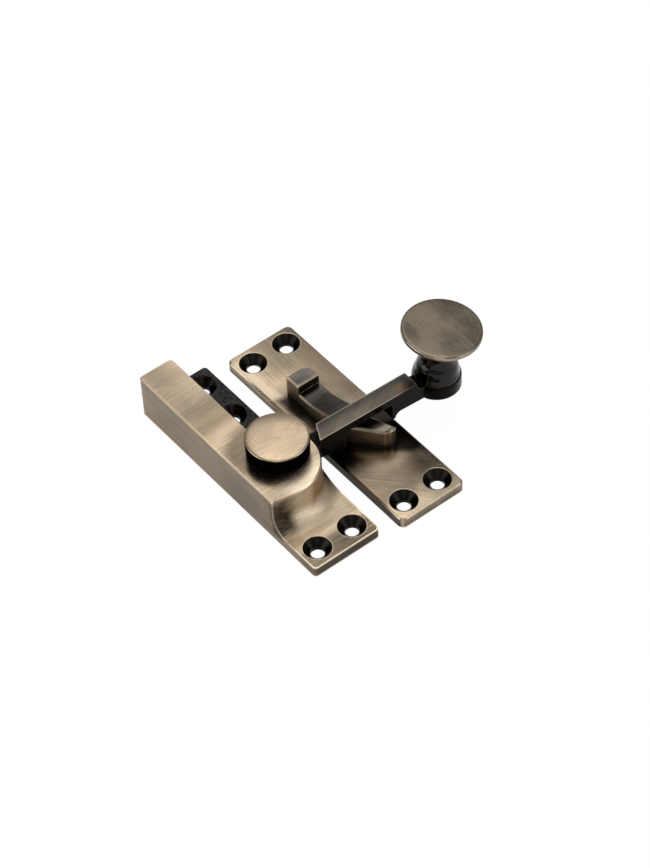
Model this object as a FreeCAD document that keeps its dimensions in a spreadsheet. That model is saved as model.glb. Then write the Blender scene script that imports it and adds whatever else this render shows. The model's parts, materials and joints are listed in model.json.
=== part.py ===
"""Quadrant fastener for a pair of sashes.

A cast body with a swinging arm and a turned knob, and the separate keep that the arm crosses.
The body and the keep are drawn screwed down side by side, with the arm across the keep.

The shared frame has its origin under the body, midway between the two front screws.
+X runs along both plates towards the front end, +Y from the body to the keep, +Z up.
Every piece of the body is drawn about the pivot; the keep is drawn from its rear inner corner.
"""
import FreeCAD
import Part

import math
import os

import Sketcher

# Sizes in millimetres and degrees. Each one can be changed by itself.
SIZES = {
    # Plates, shared by the body and the keep
    "plate_length": 70.0,
    "plate_width": 20.0,
    "plate_thick": 3.0,
    "corner_round": 1.0,
    # Countersunk screw holes
    "screw_inset": 5.0,
    "screw_spread": 10.6,
    "rear_screw_pitch": 12.6,
    "screw_bore": 1.8,
    "screw_head": 3.65,
    # Body casting
    "body_height": 13.1,
    "block_width": 10.05,
    "pivot_from_rear": 41.7,
    "boss_rear_radius": 8.5,
    "boss_radius": 11.3,
    "boss_shift": 2.4,
    "boss_front_radius": 30.0,
    "flare_radius": 4.8,
    "roof_thick": 2.3,
    "wall_thick": 2.2,
    "boss_wall": 1.6,
    "slot_sill": 0.6,
    "slot_side_gap": 0.5,
    "body_edge_break": 0.35,
    # Pivot pin and its washers
    "cap_radius": 8.1,
    "cap_height": 5.3,
    "cap_bevel": 0.35,
    "pin_radius": 2.5,
    "running_gap": 0.05,
    "peen_radius": 3.7,
    "peen_height": 1.1,
    "peen_bevel": 0.6,
    "washer_thick": 0.8,
    "washer_radius": 5.2,
    "spring_thick": 0.5,
    "spring_dish": 0.5,
    "spring_radius": 5.8,
    # Swinging arm
    "arm_width": 5.1,
    "arm_shift": 1.25,
    "rest_angle": 2.0,
    "eye_side_gap": 0.6,
    "eye_gap": 0.1,
    "tongue_thick": 3.8,
    "boss_clear": 0.3,
    "end_near": 9.9,
    "end_far": 12.35,
    "leg_gap": 0.8,
    "leg_foot": 1.6,
    "leg_low": 5.5,
    "bar_thick_at_notch": 2.2,
    "notch_round": 0.9,
    "lug_gap": 6.2,
    "lug_foot": 0.8,
    "lug_cove": 2.0,
    "lug_cove_run": 1.5,
    "bar_low": 7.1,
    "bar_past_lug": 7.7,
    "dip_run": 1.6,
    "dip_depth": 2.4,
    "dip_radius": 3.0,
    # End boss of the arm, under the knob
    "knob_past_lug": 15.7,
    "end_boss_radius": 6.3,
    "end_boss_low": 6.6,
    "end_boss_shoulder": 1.6,
    "end_boss_taper": 0.35,
    "seat_height": 10.7,
    "seat_gap": 0.35,
    "knob_lean": 5.6,
    "knob_lean_turn": 40.0,
    # Knob
    "spigot_radius": 2.4,
    "stem_foot_radius": 5.95,
    "stem_foot_high": 0.4,
    "stem_waist_radius": 5.4,
    "stem_waist_high": 1.7,
    "dome_mid_radius": 5.05,
    "dome_mid_high": 3.5,
    "dome_top_radius": 4.1,
    "dome_top_high": 5.1,
    "neck_radius": 3.9,
    "neck_low": 6.2,
    "neck_high": 10.2,
    "under_mid_radius": 5.7,
    "under_mid_high": 12.8,
    "under_reach": 8.7,
    "disc_radius": 10.2,
    "disc_thick": 1.5,
    "disc_bevel": 0.35,
    "knob_height": 15.4,
    # Keep
    "keep_corner_round": 1.6,
    "keep_edge_break": 0.45,
    "sash_gap": 5.3,
    "keep_shift": 1.9,
    "rib_start": 19.1,
    "rib_side": 4.7,
    "rib_width": 7.3,
    "stop_length": 4.6,
    "stop_height": 9.5,
    "stop_taper": 0.6,
    "stop_round": 2.5,
    "saddle_height": 6.6,
    "saddle_length": 3.2,
    "ramp_length": 9.6,
    "ramp_radius": 26.0,
    "ramp_height": 9.2,
    "bend_inner": 40.2,
    "bend_outer": 40.9,
    "bend_round": 6.0,
    "tip_inner_x": 48.9,
    "tip_inner_y": 11.7,
    "tip_outer_x": 49.1,
    "tip_outer_y": 15.4,
    "tip_round": 3.0,
    "tip_height": 8.6,
    "rib_edge_break": 0.5,
}

SHEET = "Sizes"

# How far a cut runs past the face that it opens.
CUT_PAST = 1

# How far round its axis the bulging front of the boss is cut, which takes it past the block.
FRONT_SWEEP = 30


class Dim:
    """A size that carries its number and the sheet formula that gives it."""

    def __init__(self, number, formula):
        self.number = number
        self.formula = formula

    def __add__(self, other):
        other = as_dim(other)
        return Dim(self.number + other.number, "(%s + %s)" % (self.formula, other.formula))

    def __sub__(self, other):
        other = as_dim(other)
        return Dim(self.number - other.number, "(%s - %s)" % (self.formula, other.formula))

    def __mul__(self, other):
        other = as_dim(other)
        return Dim(self.number * other.number, "(%s * %s)" % (self.formula, other.formula))

    def __truediv__(self, other):
        other = as_dim(other)
        return Dim(self.number / other.number, "(%s / %s)" % (self.formula, other.formula))

    def __neg__(self):
        return Dim(-self.number, "(0 - %s)" % self.formula)

    def sine(self):
        """Return the sine of an angle held in degrees."""
        return Dim(math.sin(math.radians(self.number)), "sin(%s * 1 deg)" % self.formula)

    def cosine(self):
        """Return the cosine of an angle held in degrees."""
        return Dim(math.cos(math.radians(self.number)), "cos(%s * 1 deg)" % self.formula)


def as_dim(value):
    """Return value as a Dim, taking a plain number as it stands."""
    if isinstance(value, Dim):
        return value
    return Dim(float(value), repr(float(value)))


def size(name):
    """Return the named size bound to its cell in the sheet."""
    return Dim(SIZES[name], "%s.%s" % (SHEET, name))


ZERO = as_dim(0)


class Corner:
    """A corner of an outline, with the arc that leads from it to the next one, if any."""

    def __init__(self, x, y, radius=None, turn=0):
        self.x = as_dim(x)
        self.y = as_dim(y)
        self.radius = radius
        self.turn = turn

    def point(self):
        return FreeCAD.Vector(self.x.number, self.y.number, 0)


def make_sheet(doc):
    """Write the named sizes into the document's sheet, one a row."""
    sheet = doc.addObject("Spreadsheet::Sheet", SHEET)
    for row, (name, number) in enumerate(SIZES.items(), start=1):
        sheet.set("A%d" % row, name)
        sheet.set("B%d" % row, repr(number))
        sheet.setAlias("B%d" % row, name)
    doc.recompute()
    return sheet


def origin_item(body, role):
    """Return the plane or axis of the body's own origin that has this role."""
    for item in body.Origin.OriginFeatures:
        if item.Role == role:
            return item
    raise LookupError("no origin item %s in %s" % (role, body.Label))


def new_sketch(body, name, role, across=ZERO, along=ZERO, out=ZERO):
    """Attach a sketch to an origin plane, shifted in the plane and out along its normal."""
    sketch = body.newObject("Sketcher::SketchObject", name)
    sketch.AttachmentSupport = [(origin_item(body, role), "")]
    sketch.MapMode = "FlatFace"
    base = FreeCAD.Vector(across.number, along.number, out.number)
    sketch.AttachmentOffset = FreeCAD.Placement(base, FreeCAD.Rotation())
    for axis, shift in (("x", across), ("y", along), ("z", out)):
        if shift is not ZERO:
            sketch.setExpression("AttachmentOffset.Base." + axis, shift.formula)
    return sketch


def lean_axis():
    """Return the level axis, in x and y, about which the knob leans over."""
    turn = size("knob_lean_turn")
    return -turn.cosine(), turn.sine()


def lean_over(sketch):
    """Lean a sketch drawn upright on the YZ plane over as the knob leans."""
    lean = size("knob_lean")
    x, y = lean_axis()
    # The sketch's own first, second and third axes are the body's y, z and x.
    sketch.AttachmentOffset.Rotation = FreeCAD.Rotation(
        FreeCAD.Vector(y.number, 0, x.number), lean.number)
    sketch.setExpression("AttachmentOffset.Rotation.Angle", lean.formula + " * 1 deg")
    sketch.setExpression("AttachmentOffset.Rotation.Axis.x", y.formula)
    sketch.setExpression("AttachmentOffset.Rotation.Axis.y", "0")
    sketch.setExpression("AttachmentOffset.Rotation.Axis.z", x.formula)
    return sketch


def bind(sketch, constraint, name, dim):
    """Add a dimension to a sketch and tie it to the sheet."""
    index = sketch.addConstraint(constraint)
    sketch.renameConstraint(index, name)
    sketch.setExpression("Constraints." + name, dim.formula)


def fix_point(sketch, shape_index, end, x, y, name):
    """Tie one point of a sketch to its place from the sketch's origin."""
    if x is ZERO:
        sketch.addConstraint(Sketcher.Constraint("PointOnObject", shape_index, end, -2))
    else:
        bind(sketch, Sketcher.Constraint("DistanceX", -1, 1, shape_index, end, x.number),
             name + "_x", x)
    if y is ZERO:
        sketch.addConstraint(Sketcher.Constraint("PointOnObject", shape_index, end, -1))
    else:
        bind(sketch, Sketcher.Constraint("DistanceY", -1, 1, shape_index, end, y.number),
             name + "_y", y)


def arc_between(start, finish, radius, turn):
    """Return the short arc of this radius that joins two points, turning left or right."""
    chord = finish - start
    middle = (start + finish) * 0.5
    left = FreeCAD.Vector(-chord.y, chord.x, 0).normalize()
    rise = math.sqrt(max(radius ** 2 - (chord.Length / 2) ** 2, 0.0))
    centre = middle + left * (rise * turn)
    circle = Part.Circle(centre, FreeCAD.Vector(0, 0, 1), radius)
    first, last = (start, finish) if turn > 0 else (finish, start)
    begin = math.atan2(first.y - centre.y, first.x - centre.x)
    end = math.atan2(last.y - centre.y, last.x - centre.x)
    if end <= begin:
        end += 2 * math.pi
    return Part.ArcOfCircle(circle, begin, end)


def draw_outline(sketch, corners):
    """Draw a closed outline of lines and arcs with every corner tied to the sheet."""
    starts = []
    ends = []
    for corner, following in zip(corners, corners[1:] + corners[:1]):
        if corner.radius is None:
            shape = Part.LineSegment(corner.point(), following.point())
            first, last = 1, 2
        else:
            shape = arc_between(corner.point(), following.point(),
                                corner.radius.number, corner.turn)
            first, last = (1, 2) if corner.turn > 0 else (2, 1)
        index = sketch.addGeometry(shape, False)
        starts.append((index, first))
        ends.append((index, last))
    for place in range(len(corners)):
        following = starts[(place + 1) % len(corners)]
        sketch.addConstraint(Sketcher.Constraint("Coincident", *ends[place], *following))
    for place, corner in enumerate(corners):
        fix_point(sketch, *starts[place], corner.x, corner.y, "corner%d" % place)
        if corner.radius is not None:
            bind(sketch, Sketcher.Constraint("Radius", starts[place][0], corner.radius.number),
                 "bend%d" % place, corner.radius)
    return sketch


def draw_box(sketch, x_low, y_low, x_high, y_high):
    """Draw a rectangle between two opposite corners."""
    return draw_outline(sketch, [Corner(x_low, y_low), Corner(x_high, y_low),
                                 Corner(x_high, y_high), Corner(x_low, y_high)])


def draw_circle(sketch, x, y, radius):
    """Draw a circle with its centre and radius tied to the sheet."""
    centre = FreeCAD.Vector(x.number, y.number, 0)
    circle = Part.Circle(centre, FreeCAD.Vector(0, 0, 1), radius.number)
    index = sketch.addGeometry(circle, False)
    fix_point(sketch, index, 3, x, y, "centre%d" % index)
    bind(sketch, Sketcher.Constraint("Radius", index, radius.number),
         "radius%d" % index, radius)
    return sketch


def settle(body, feature, grows, before):
    """Recompute, then check that the feature added or took away material as it should."""
    body.Document.recompute()
    if {"Invalid", "Error"} & set(feature.State) or feature.Shape.isNull():
        raise RuntimeError("%s in %s failed" % (feature.Name, body.Label))
    change = feature.Shape.Volume - before
    if grows is not None and (change <= 0) == grows:
        raise RuntimeError("%s in %s works the wrong way" % (feature.Name, body.Label))
    return feature


def volume_of(body):
    """Return the volume built so far in a body."""
    return 0.0 if body.Tip is None or body.Tip.Shape.isNull() else body.Tip.Shape.Volume


def extrude(body, kind, name, sketch, length, backwards=False):
    """Pad or pocket a sketch by a length, backwards meaning against the usual side."""
    before = volume_of(body)
    feature = body.newObject("PartDesign::" + kind, name)
    feature.Profile = sketch
    feature.Reversed = backwards
    feature.setExpression("Length", length.formula)
    return settle(body, feature, kind == "Pad", before)


def spin(body, kind, name, sketch, angle=360, backwards=False):
    """Revolve or groove a sketch about its own upright axis, the usual way round or back."""
    before = volume_of(body)
    feature = body.newObject("PartDesign::" + kind, name)
    feature.Profile = sketch
    feature.ReferenceAxis = (sketch, ["V_Axis"])
    feature.Angle = angle
    feature.Reversed = backwards
    return settle(body, feature, kind == "Revolution", before)


def repeat(body, name, original, role, length):
    """Repeat a feature once more, this far along an axis of the body."""
    before = volume_of(body)
    feature = body.newObject("PartDesign::LinearPattern", name)
    feature.Originals = [original]
    feature.Direction = (origin_item(body, role), [""])
    feature.Occurrences = 2
    feature.setExpression("Length", length.formula)
    body.Tip = feature
    return settle(body, feature, False, before)


def round_edges(body, name, radius, wanted):
    """Round the edges of a body that the test picks out."""
    return ease_edges(body, "Fillet", "Radius", name, radius, wanted)


def break_edges(body, name, width, wanted):
    """Bevel the edges of a body that the test picks out."""
    return ease_edges(body, "Chamfer", "Size", name, width, wanted)


def ease_edges(body, kind, measure, name, amount, wanted):
    """Dress the edges of a body that the test picks out, by a feature of this kind."""
    base = body.Tip
    names = ["Edge%d" % number for number, edge in enumerate(base.Shape.Edges, start=1)
             if wanted(edge)]
    if not names:
        raise LookupError("no edge found for %s in %s" % (name, body.Label))
    feature = body.newObject("PartDesign::" + kind, name)
    feature.Base = (base, names)
    feature.setExpression(measure, amount.formula)
    return settle(body, feature, None, base.Shape.Volume)


def near(one, other):
    """Tell whether two lengths are the same within a hundredth of a millimetre."""
    return abs(one - other) < 0.01


def upright_at(*places):
    """Return a test for upright edges that stand at one of these places."""
    def wanted(edge):
        box = edge.BoundBox
        return any(near(box.XMin, x.number) and near(box.XMax, x.number)
                   and near(box.YMin, y.number) and near(box.YMax, y.number)
                   for x, y in places)
    return wanted


def level_at(height, also=None):
    """Return a test for edges that lie level at a height, and pass a further test if given."""
    def wanted(edge):
        box = edge.BoundBox
        level = near(box.ZMin, height.number) and near(box.ZMax, height.number)
        return level and (also is None or also(edge))
    return wanted


def wide(edge):
    """Tell an edge of an outline from the small rim of a hole."""
    curve = edge.Curve
    return not (hasattr(curve, "Radius") and len(edge.Vertexes) == 1)


def on_rim(length, width):
    """Return a test for the edges that follow the outline of a plate drawn from its corner."""
    def wanted(edge):
        middle = edge.BoundBox.Center
        away = min(middle.x, length - middle.x, middle.y, width - middle.y)
        return away < SIZES["corner_round"]
    return wanted


def rim_above(low, top):
    """Return a test for a rib's top rim, leaving out the lines that cross below its top."""
    def wanted(edge):
        box = edge.BoundBox
        if box.ZMin < low.number and not near(box.ZMin, low.number):
            return False
        return near(box.ZMin, top.number) or not near(box.XMin, box.XMax)
    return wanted


def screw_hole(body, name, x, y):
    """Cut a screw hole with its countersink down through the plate's top face."""
    thick = size("plate_thick")
    cone = size("screw_head") - size("screw_bore")
    sketch = new_sketch(body, name + "_profile", "XZ_Plane", across=x, out=-y)
    draw_outline(sketch, [
        Corner(ZERO, -thick),
        Corner(size("screw_bore"), -thick),
        Corner(size("screw_bore"), thick - cone),
        Corner(size("screw_head"), thick),
        Corner(size("screw_head"), thick * 2),
        Corner(ZERO, thick * 2),
    ])
    return spin(body, "Groove", name, sketch)


def pivot_place():
    """Return the pivot's x and y in the shared frame."""
    x = size("pivot_from_rear") + size("screw_inset") - size("plate_length")
    y = size("plate_width") / 2 - size("boss_rear_radius")
    return x, y


def bind_to_pivot(body, turned=False):
    """Place a body at the pivot and tie the place to the sheet."""
    x, y = pivot_place()
    body.Placement.Base = FreeCAD.Vector(x.number, y.number, 0)
    body.setExpression("Placement.Base.x", x.formula)
    body.setExpression("Placement.Base.y", y.formula)
    if turned:
        rest = size("rest_angle")
        body.Placement.Rotation = FreeCAD.Rotation(FreeCAD.Vector(0, 0, -1), rest.number)
        body.setExpression("Placement.Rotation.Angle", rest.formula + " * 1 deg")


def new_body(doc, label):
    """Start a body whose label is the piece's own name."""
    body = doc.addObject("PartDesign::Body", label)
    body.Label = label
    return body


def build_casting(doc):
    """Body casting: plate, side block, round boss with its flared foot, cavity and arm slot."""
    body = new_body(doc, "body_casting")
    bind_to_pivot(body)
    rear = -size("pivot_from_rear")
    front = size("plate_length") - size("pivot_from_rear")
    inner = size("boss_rear_radius")
    outer = inner - size("plate_width")
    block_in = outer + size("block_width")
    top = size("body_height")
    thick = size("plate_thick")
    boss_front = size("boss_shift") + size("boss_radius")
    boss_side = inner - size("boss_radius")
    flare = size("flare_radius")
    roof_low = top - size("roof_thick")
    cavity = inner - size("boss_wall")

    sketch = draw_box(new_sketch(body, "plate_outline", "XY_Plane"), rear, outer, front, inner)
    extrude(body, "Pad", "plate", sketch, thick)
    sketch = draw_box(new_sketch(body, "block_outline", "XY_Plane"), rear, outer, ZERO, block_in)
    extrude(body, "Pad", "side_block", sketch, top)

    # The boss is padded square at the front. Its wall and flared foot are cut next: the front
    # bulges gently as far as the block's side, and the inner corner is round.
    sketch = draw_outline(new_sketch(body, "boss_outline", "XY_Plane"), [
        Corner(-inner, outer),
        Corner(boss_front + flare, outer),
        Corner(boss_front + flare, inner),
        Corner(ZERO, inner, radius=inner, turn=1),
        Corner(-inner, ZERO),
    ])
    extrude(body, "Pad", "boss", sketch, top)

    def flare_corners(wall, reach):
        return [
            Corner(wall, top + CUT_PAST),
            Corner(wall, thick + flare, radius=flare, turn=1),
            Corner(wall + flare, thick),
            Corner(wall + reach, thick),
            Corner(wall + reach, top + CUT_PAST),
        ]

    front_radius = size("boss_front_radius")
    sketch = new_sketch(body, "front_face_profile", "XZ_Plane",
                        across=boss_front - front_radius, out=-boss_side)
    draw_outline(sketch, flare_corners(front_radius, flare * 2))
    spin(body, "Groove", "front_face", sketch, angle=FRONT_SWEEP, backwards=True)
    sketch = new_sketch(body, "round_face_profile", "XZ_Plane",
                        across=size("boss_shift"), out=-boss_side)
    draw_outline(sketch, flare_corners(size("boss_radius"), size("boss_radius") + flare))
    spin(body, "Groove", "round_face", sketch, angle=90)

    # The cavity and the core under the block are open below, as such castings are.
    sketch = draw_circle(new_sketch(body, "cavity_outline", "XY_Plane"),
                         ZERO, ZERO, cavity)
    extrude(body, "Pocket", "eye_cavity", sketch, roof_low, backwards=True)
    wall = size("wall_thick")
    sketch = draw_box(new_sketch(body, "core_outline", "XY_Plane"), rear + wall, outer + wall,
                      -cavity - wall, block_in - wall)
    extrude(body, "Pocket", "block_core", sketch, roof_low, backwards=True)
    sketch = draw_circle(new_sketch(body, "pin_bore_outline", "XY_Plane"),
                         ZERO, ZERO, size("pin_radius") + size("running_gap"))
    extrude(body, "Pocket", "pin_bore", sketch, top + CUT_PAST, backwards=True)

    # The arm's tongue leaves the cavity through a slot that reaches round to the block.
    slot_front = size("arm_shift") + size("arm_width") / 2 + size("slot_side_gap")
    slot_low = stack_heights()["eye_low"] - size("slot_sill")
    sketch = draw_outline(new_sketch(body, "slot_outline", "XY_Plane", out=slot_low), [
        Corner(slot_front, cavity / 2),
        Corner(slot_front, inner + CUT_PAST),
        Corner(-inner - CUT_PAST, inner + CUT_PAST),
        Corner(-inner - CUT_PAST, block_in),
        Corner(-cavity / 2, block_in),
    ])
    extrude(body, "Pocket", "arm_slot", sketch, roof_low - slot_low, backwards=True)

    half = size("screw_spread") / 2
    middle = inner - size("plate_width") / 2
    hole = screw_hole(body, "front_screw", front - size("screw_inset"), middle - half)
    repeat(body, "front_screws", hole, "Y_Axis", size("screw_spread"))
    hole = screw_hole(body, "rear_screw", rear + size("screw_inset"), middle + half)
    repeat(body, "rear_screws", hole, "X_Axis", size("rear_screw_pitch"))

    round_edges(body, "corners", size("corner_round"), upright_at(
        (rear, outer), (rear, block_in), (rear, inner), (front, outer), (front, inner)))
    break_edges(body, "top_edges", size("body_edge_break"), level_at(top, wide))
    return body


def build_pin(doc):
    """Pivot pin: the broad cap, the shank through roof and eye, and the peened end."""
    body = new_body(doc, "pivot_pin")
    bind_to_pivot(body)
    top = size("body_height")
    cap_top = top + size("cap_height")
    peen_top = stack_heights()["washer_low"]
    sketch = draw_outline(new_sketch(body, "pin_profile", "XZ_Plane"), [
        Corner(ZERO, peen_top - size("peen_height")),
        Corner(size("pin_radius"), peen_top - size("peen_height")),
        Corner(size("peen_radius"), peen_top - size("peen_height") + size("peen_bevel")),
        Corner(size("peen_radius"), peen_top),
        Corner(size("pin_radius"), peen_top),
        Corner(size("pin_radius"), top),
        Corner(size("cap_radius"), top),
        Corner(size("cap_radius"), cap_top - size("cap_bevel")),
        Corner(size("cap_radius") - size("cap_bevel"), cap_top),
        Corner(ZERO, cap_top),
    ])
    spin(body, "Revolution", "pin", sketch)
    return body


def stack_heights():
    """Return the heights of the pieces stacked under the arm's eye, from the roof down."""
    roof_low = size("body_height") - size("roof_thick")
    eye_high = roof_low - size("eye_gap")
    eye_low = eye_high - size("tongue_thick")
    washer_high = eye_low - size("spring_thick") - size("spring_dish")
    washer_low = washer_high - size("washer_thick")
    return {"eye_high": eye_high, "eye_low": eye_low,
            "washer_high": washer_high, "washer_low": washer_low}


def build_washers(doc):
    """Dished spring washer under the eye, and the flat washer that the pin is peened over."""
    heights = stack_heights()
    bore = size("pin_radius") + size("running_gap")
    spring = new_body(doc, "spring_washer")
    bind_to_pivot(spring)
    low = heights["washer_high"]
    sketch = draw_outline(new_sketch(spring, "spring_profile", "XZ_Plane"), [
        Corner(bore, low),
        Corner(size("spring_radius"), low + size("spring_dish")),
        Corner(size("spring_radius"), heights["eye_low"]),
        Corner(bore, low + size("spring_thick")),
    ])
    spin(spring, "Revolution", "dished_ring", sketch)
    washer = new_body(doc, "pin_washer")
    bind_to_pivot(washer)
    sketch = draw_box(new_sketch(washer, "washer_profile", "XZ_Plane"), bore,
                      heights["washer_low"], size("washer_radius"), heights["washer_high"])
    spin(washer, "Revolution", "flat_ring", sketch)
    return [spring, washer]


def arm_reaches():
    """Return how far out from the pivot the arm's leg, lug, dip and knob lie over the keep."""
    rib_near = size("boss_rear_radius") + size("sash_gap") + size("rib_side")
    lug = rib_near + size("rib_width") + size("lug_gap")
    return {"leg": rib_near - size("leg_gap"), "lug": lug,
            "bar": lug + size("bar_past_lug"), "knob": lug + size("knob_past_lug")}


def build_arm(doc):
    """Swinging arm: eye, tongue, leg, the notch that spans the keep's rib, lug and end boss."""
    body = new_body(doc, "swing_arm")
    bind_to_pivot(body, turned=True)
    heights = stack_heights()
    shift = size("arm_shift")
    half = size("arm_width") / 2
    top = size("body_height")
    wall_clear = size("boss_rear_radius") + size("boss_clear")
    notch_high = top - size("bar_thick_at_notch")
    reaches = arm_reaches()
    leg = reaches["leg"]
    lug = reaches["lug"]
    reach = reaches["knob"]

    sketch = new_sketch(body, "side_profile", "YZ_Plane", out=shift - half)
    draw_outline(sketch, [
        Corner(ZERO, heights["eye_low"]),
        Corner(wall_clear, heights["eye_low"]),
        Corner(leg - size("leg_foot"), size("leg_low")),
        Corner(leg, size("leg_low")),
        Corner(leg, notch_high),
        Corner(lug, notch_high),
        Corner(lug, size("leg_low")),
        Corner(lug + size("lug_foot"), size("leg_low"), radius=size("lug_cove"), turn=-1),
        Corner(lug + size("lug_foot") + size("lug_cove_run"), size("bar_low")),
        Corner(reach, size("end_boss_low")),
        Corner(reach, top - size("dip_depth")),
        Corner(reaches["bar"] + size("dip_run"), top - size("dip_depth"),
               radius=size("dip_radius"), turn=-1),
        Corner(reaches["bar"], top),
        Corner(wall_clear, top),
        Corner(wall_clear, heights["eye_high"]),
        Corner(ZERO, heights["eye_high"]),
    ])
    extrude(body, "Pad", "bar", sketch, size("arm_width"))

    sketch = draw_circle(new_sketch(body, "eye_outline", "XY_Plane", out=heights["eye_low"]),
                         ZERO, ZERO, size("boss_rear_radius") - size("boss_wall")
                         - size("eye_side_gap"))
    extrude(body, "Pad", "eye", sketch, size("tongue_thick"))
    boss = size("end_boss_radius")
    lean = size("knob_lean")
    boss_top = size("seat_height") + boss * lean.sine() / lean.cosine()
    sketch = new_sketch(body, "end_boss_profile", "YZ_Plane", across=reach, out=shift)
    draw_outline(sketch, [
        Corner(ZERO, size("end_boss_low")),
        Corner(boss, size("end_boss_low")),
        Corner(boss, boss_top - size("end_boss_shoulder")),
        Corner(boss - size("end_boss_taper"), boss_top),
        Corner(ZERO, boss_top),
    ])
    spin(body, "Revolution", "end_boss", sketch)

    # The raised bar starts on a slant, clear of the round boss.
    slope = (size("end_far") - size("end_near")) / size("arm_width")
    sketch = new_sketch(body, "slant_outline", "XY_Plane", out=heights["eye_high"])
    draw_outline(sketch, [
        Corner(shift - half - CUT_PAST, wall_clear - CUT_PAST),
        Corner(shift + half + CUT_PAST, wall_clear - CUT_PAST),
        Corner(shift + half + CUT_PAST, size("end_near") - slope),
        Corner(shift - half - CUT_PAST, size("end_far") + slope),
    ])
    extrude(body, "Pocket", "slanted_end", sketch,
            size("roof_thick") + size("eye_gap") + CUT_PAST, backwards=True)

    # The knob's seat and bore stand square to its leaning axis.
    seat = lean_over(new_sketch(body, "seat_profile", "YZ_Plane", across=reach,
                                along=size("seat_height"), out=shift))
    draw_box(seat, ZERO, ZERO, size("end_boss_radius") + size("seat_gap"), size("body_height"))
    spin(body, "Groove", "knob_seat", seat)
    bore = lean_over(new_sketch(body, "spigot_profile", "YZ_Plane", across=reach,
                                along=size("seat_height"), out=shift))
    draw_box(bore, ZERO, -size("seat_height"),
             size("spigot_radius") + size("running_gap"), as_dim(CUT_PAST))
    spin(body, "Groove", "spigot_bore", bore)
    sketch = draw_circle(new_sketch(body, "eye_bore_outline", "XY_Plane"),
                         ZERO, ZERO, size("pin_radius") + size("running_gap"))
    extrude(body, "Pocket", "eye_bore", sketch, top, backwards=True)

    round_edges(body, "notch_corners", size("notch_round"), level_at(
        notch_high, lambda edge: near(edge.BoundBox.YMin, edge.BoundBox.YMax)))
    return body


def build_knob(doc):
    """Turned knob: riveting spigot, domed stem and the flat disc on top."""
    body = new_body(doc, "knob")
    x, y = lean_axis()
    lean = FreeCAD.Rotation(FreeCAD.Vector(x.number, y.number, 0), SIZES["knob_lean"])
    seat = FreeCAD.Vector(SIZES["arm_shift"], arm_reaches()["knob"].number, SIZES["seat_height"])
    turn = FreeCAD.Rotation(FreeCAD.Vector(0, 0, 1), -SIZES["rest_angle"])
    x, y = pivot_place()
    arm_place = FreeCAD.Placement(FreeCAD.Vector(x.number, y.number, 0), turn)
    body.Placement = arm_place.multiply(FreeCAD.Placement(seat, lean))
    rim = size("disc_radius")
    bevel = size("disc_bevel")
    high = size("knob_height")
    spigot = size("seat_height") - size("end_boss_low")
    sketch = draw_outline(new_sketch(body, "knob_profile", "XZ_Plane"), [
        Corner(ZERO, -spigot),
        Corner(size("spigot_radius"), -spigot),
        Corner(size("spigot_radius"), ZERO),
        Corner(size("stem_foot_radius"), ZERO),
        Corner(size("stem_foot_radius"), size("stem_foot_high")),
        Corner(size("stem_waist_radius"), size("stem_waist_high")),
        Corner(size("dome_mid_radius"), size("dome_mid_high")),
        Corner(size("dome_top_radius"), size("dome_top_high")),
        Corner(size("neck_radius"), size("neck_low")),
        Corner(size("neck_radius"), size("neck_high")),
        Corner(size("under_mid_radius"), size("under_mid_high")),
        Corner(size("under_reach"), high - size("disc_thick")),
        Corner(rim - bevel, high - size("disc_thick")),
        Corner(rim, high - size("disc_thick") + bevel),
        Corner(rim, high - bevel),
        Corner(rim - bevel, high),
        Corner(ZERO, high),
    ])
    spin(body, "Revolution", "turned_knob", sketch)
    return body


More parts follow.
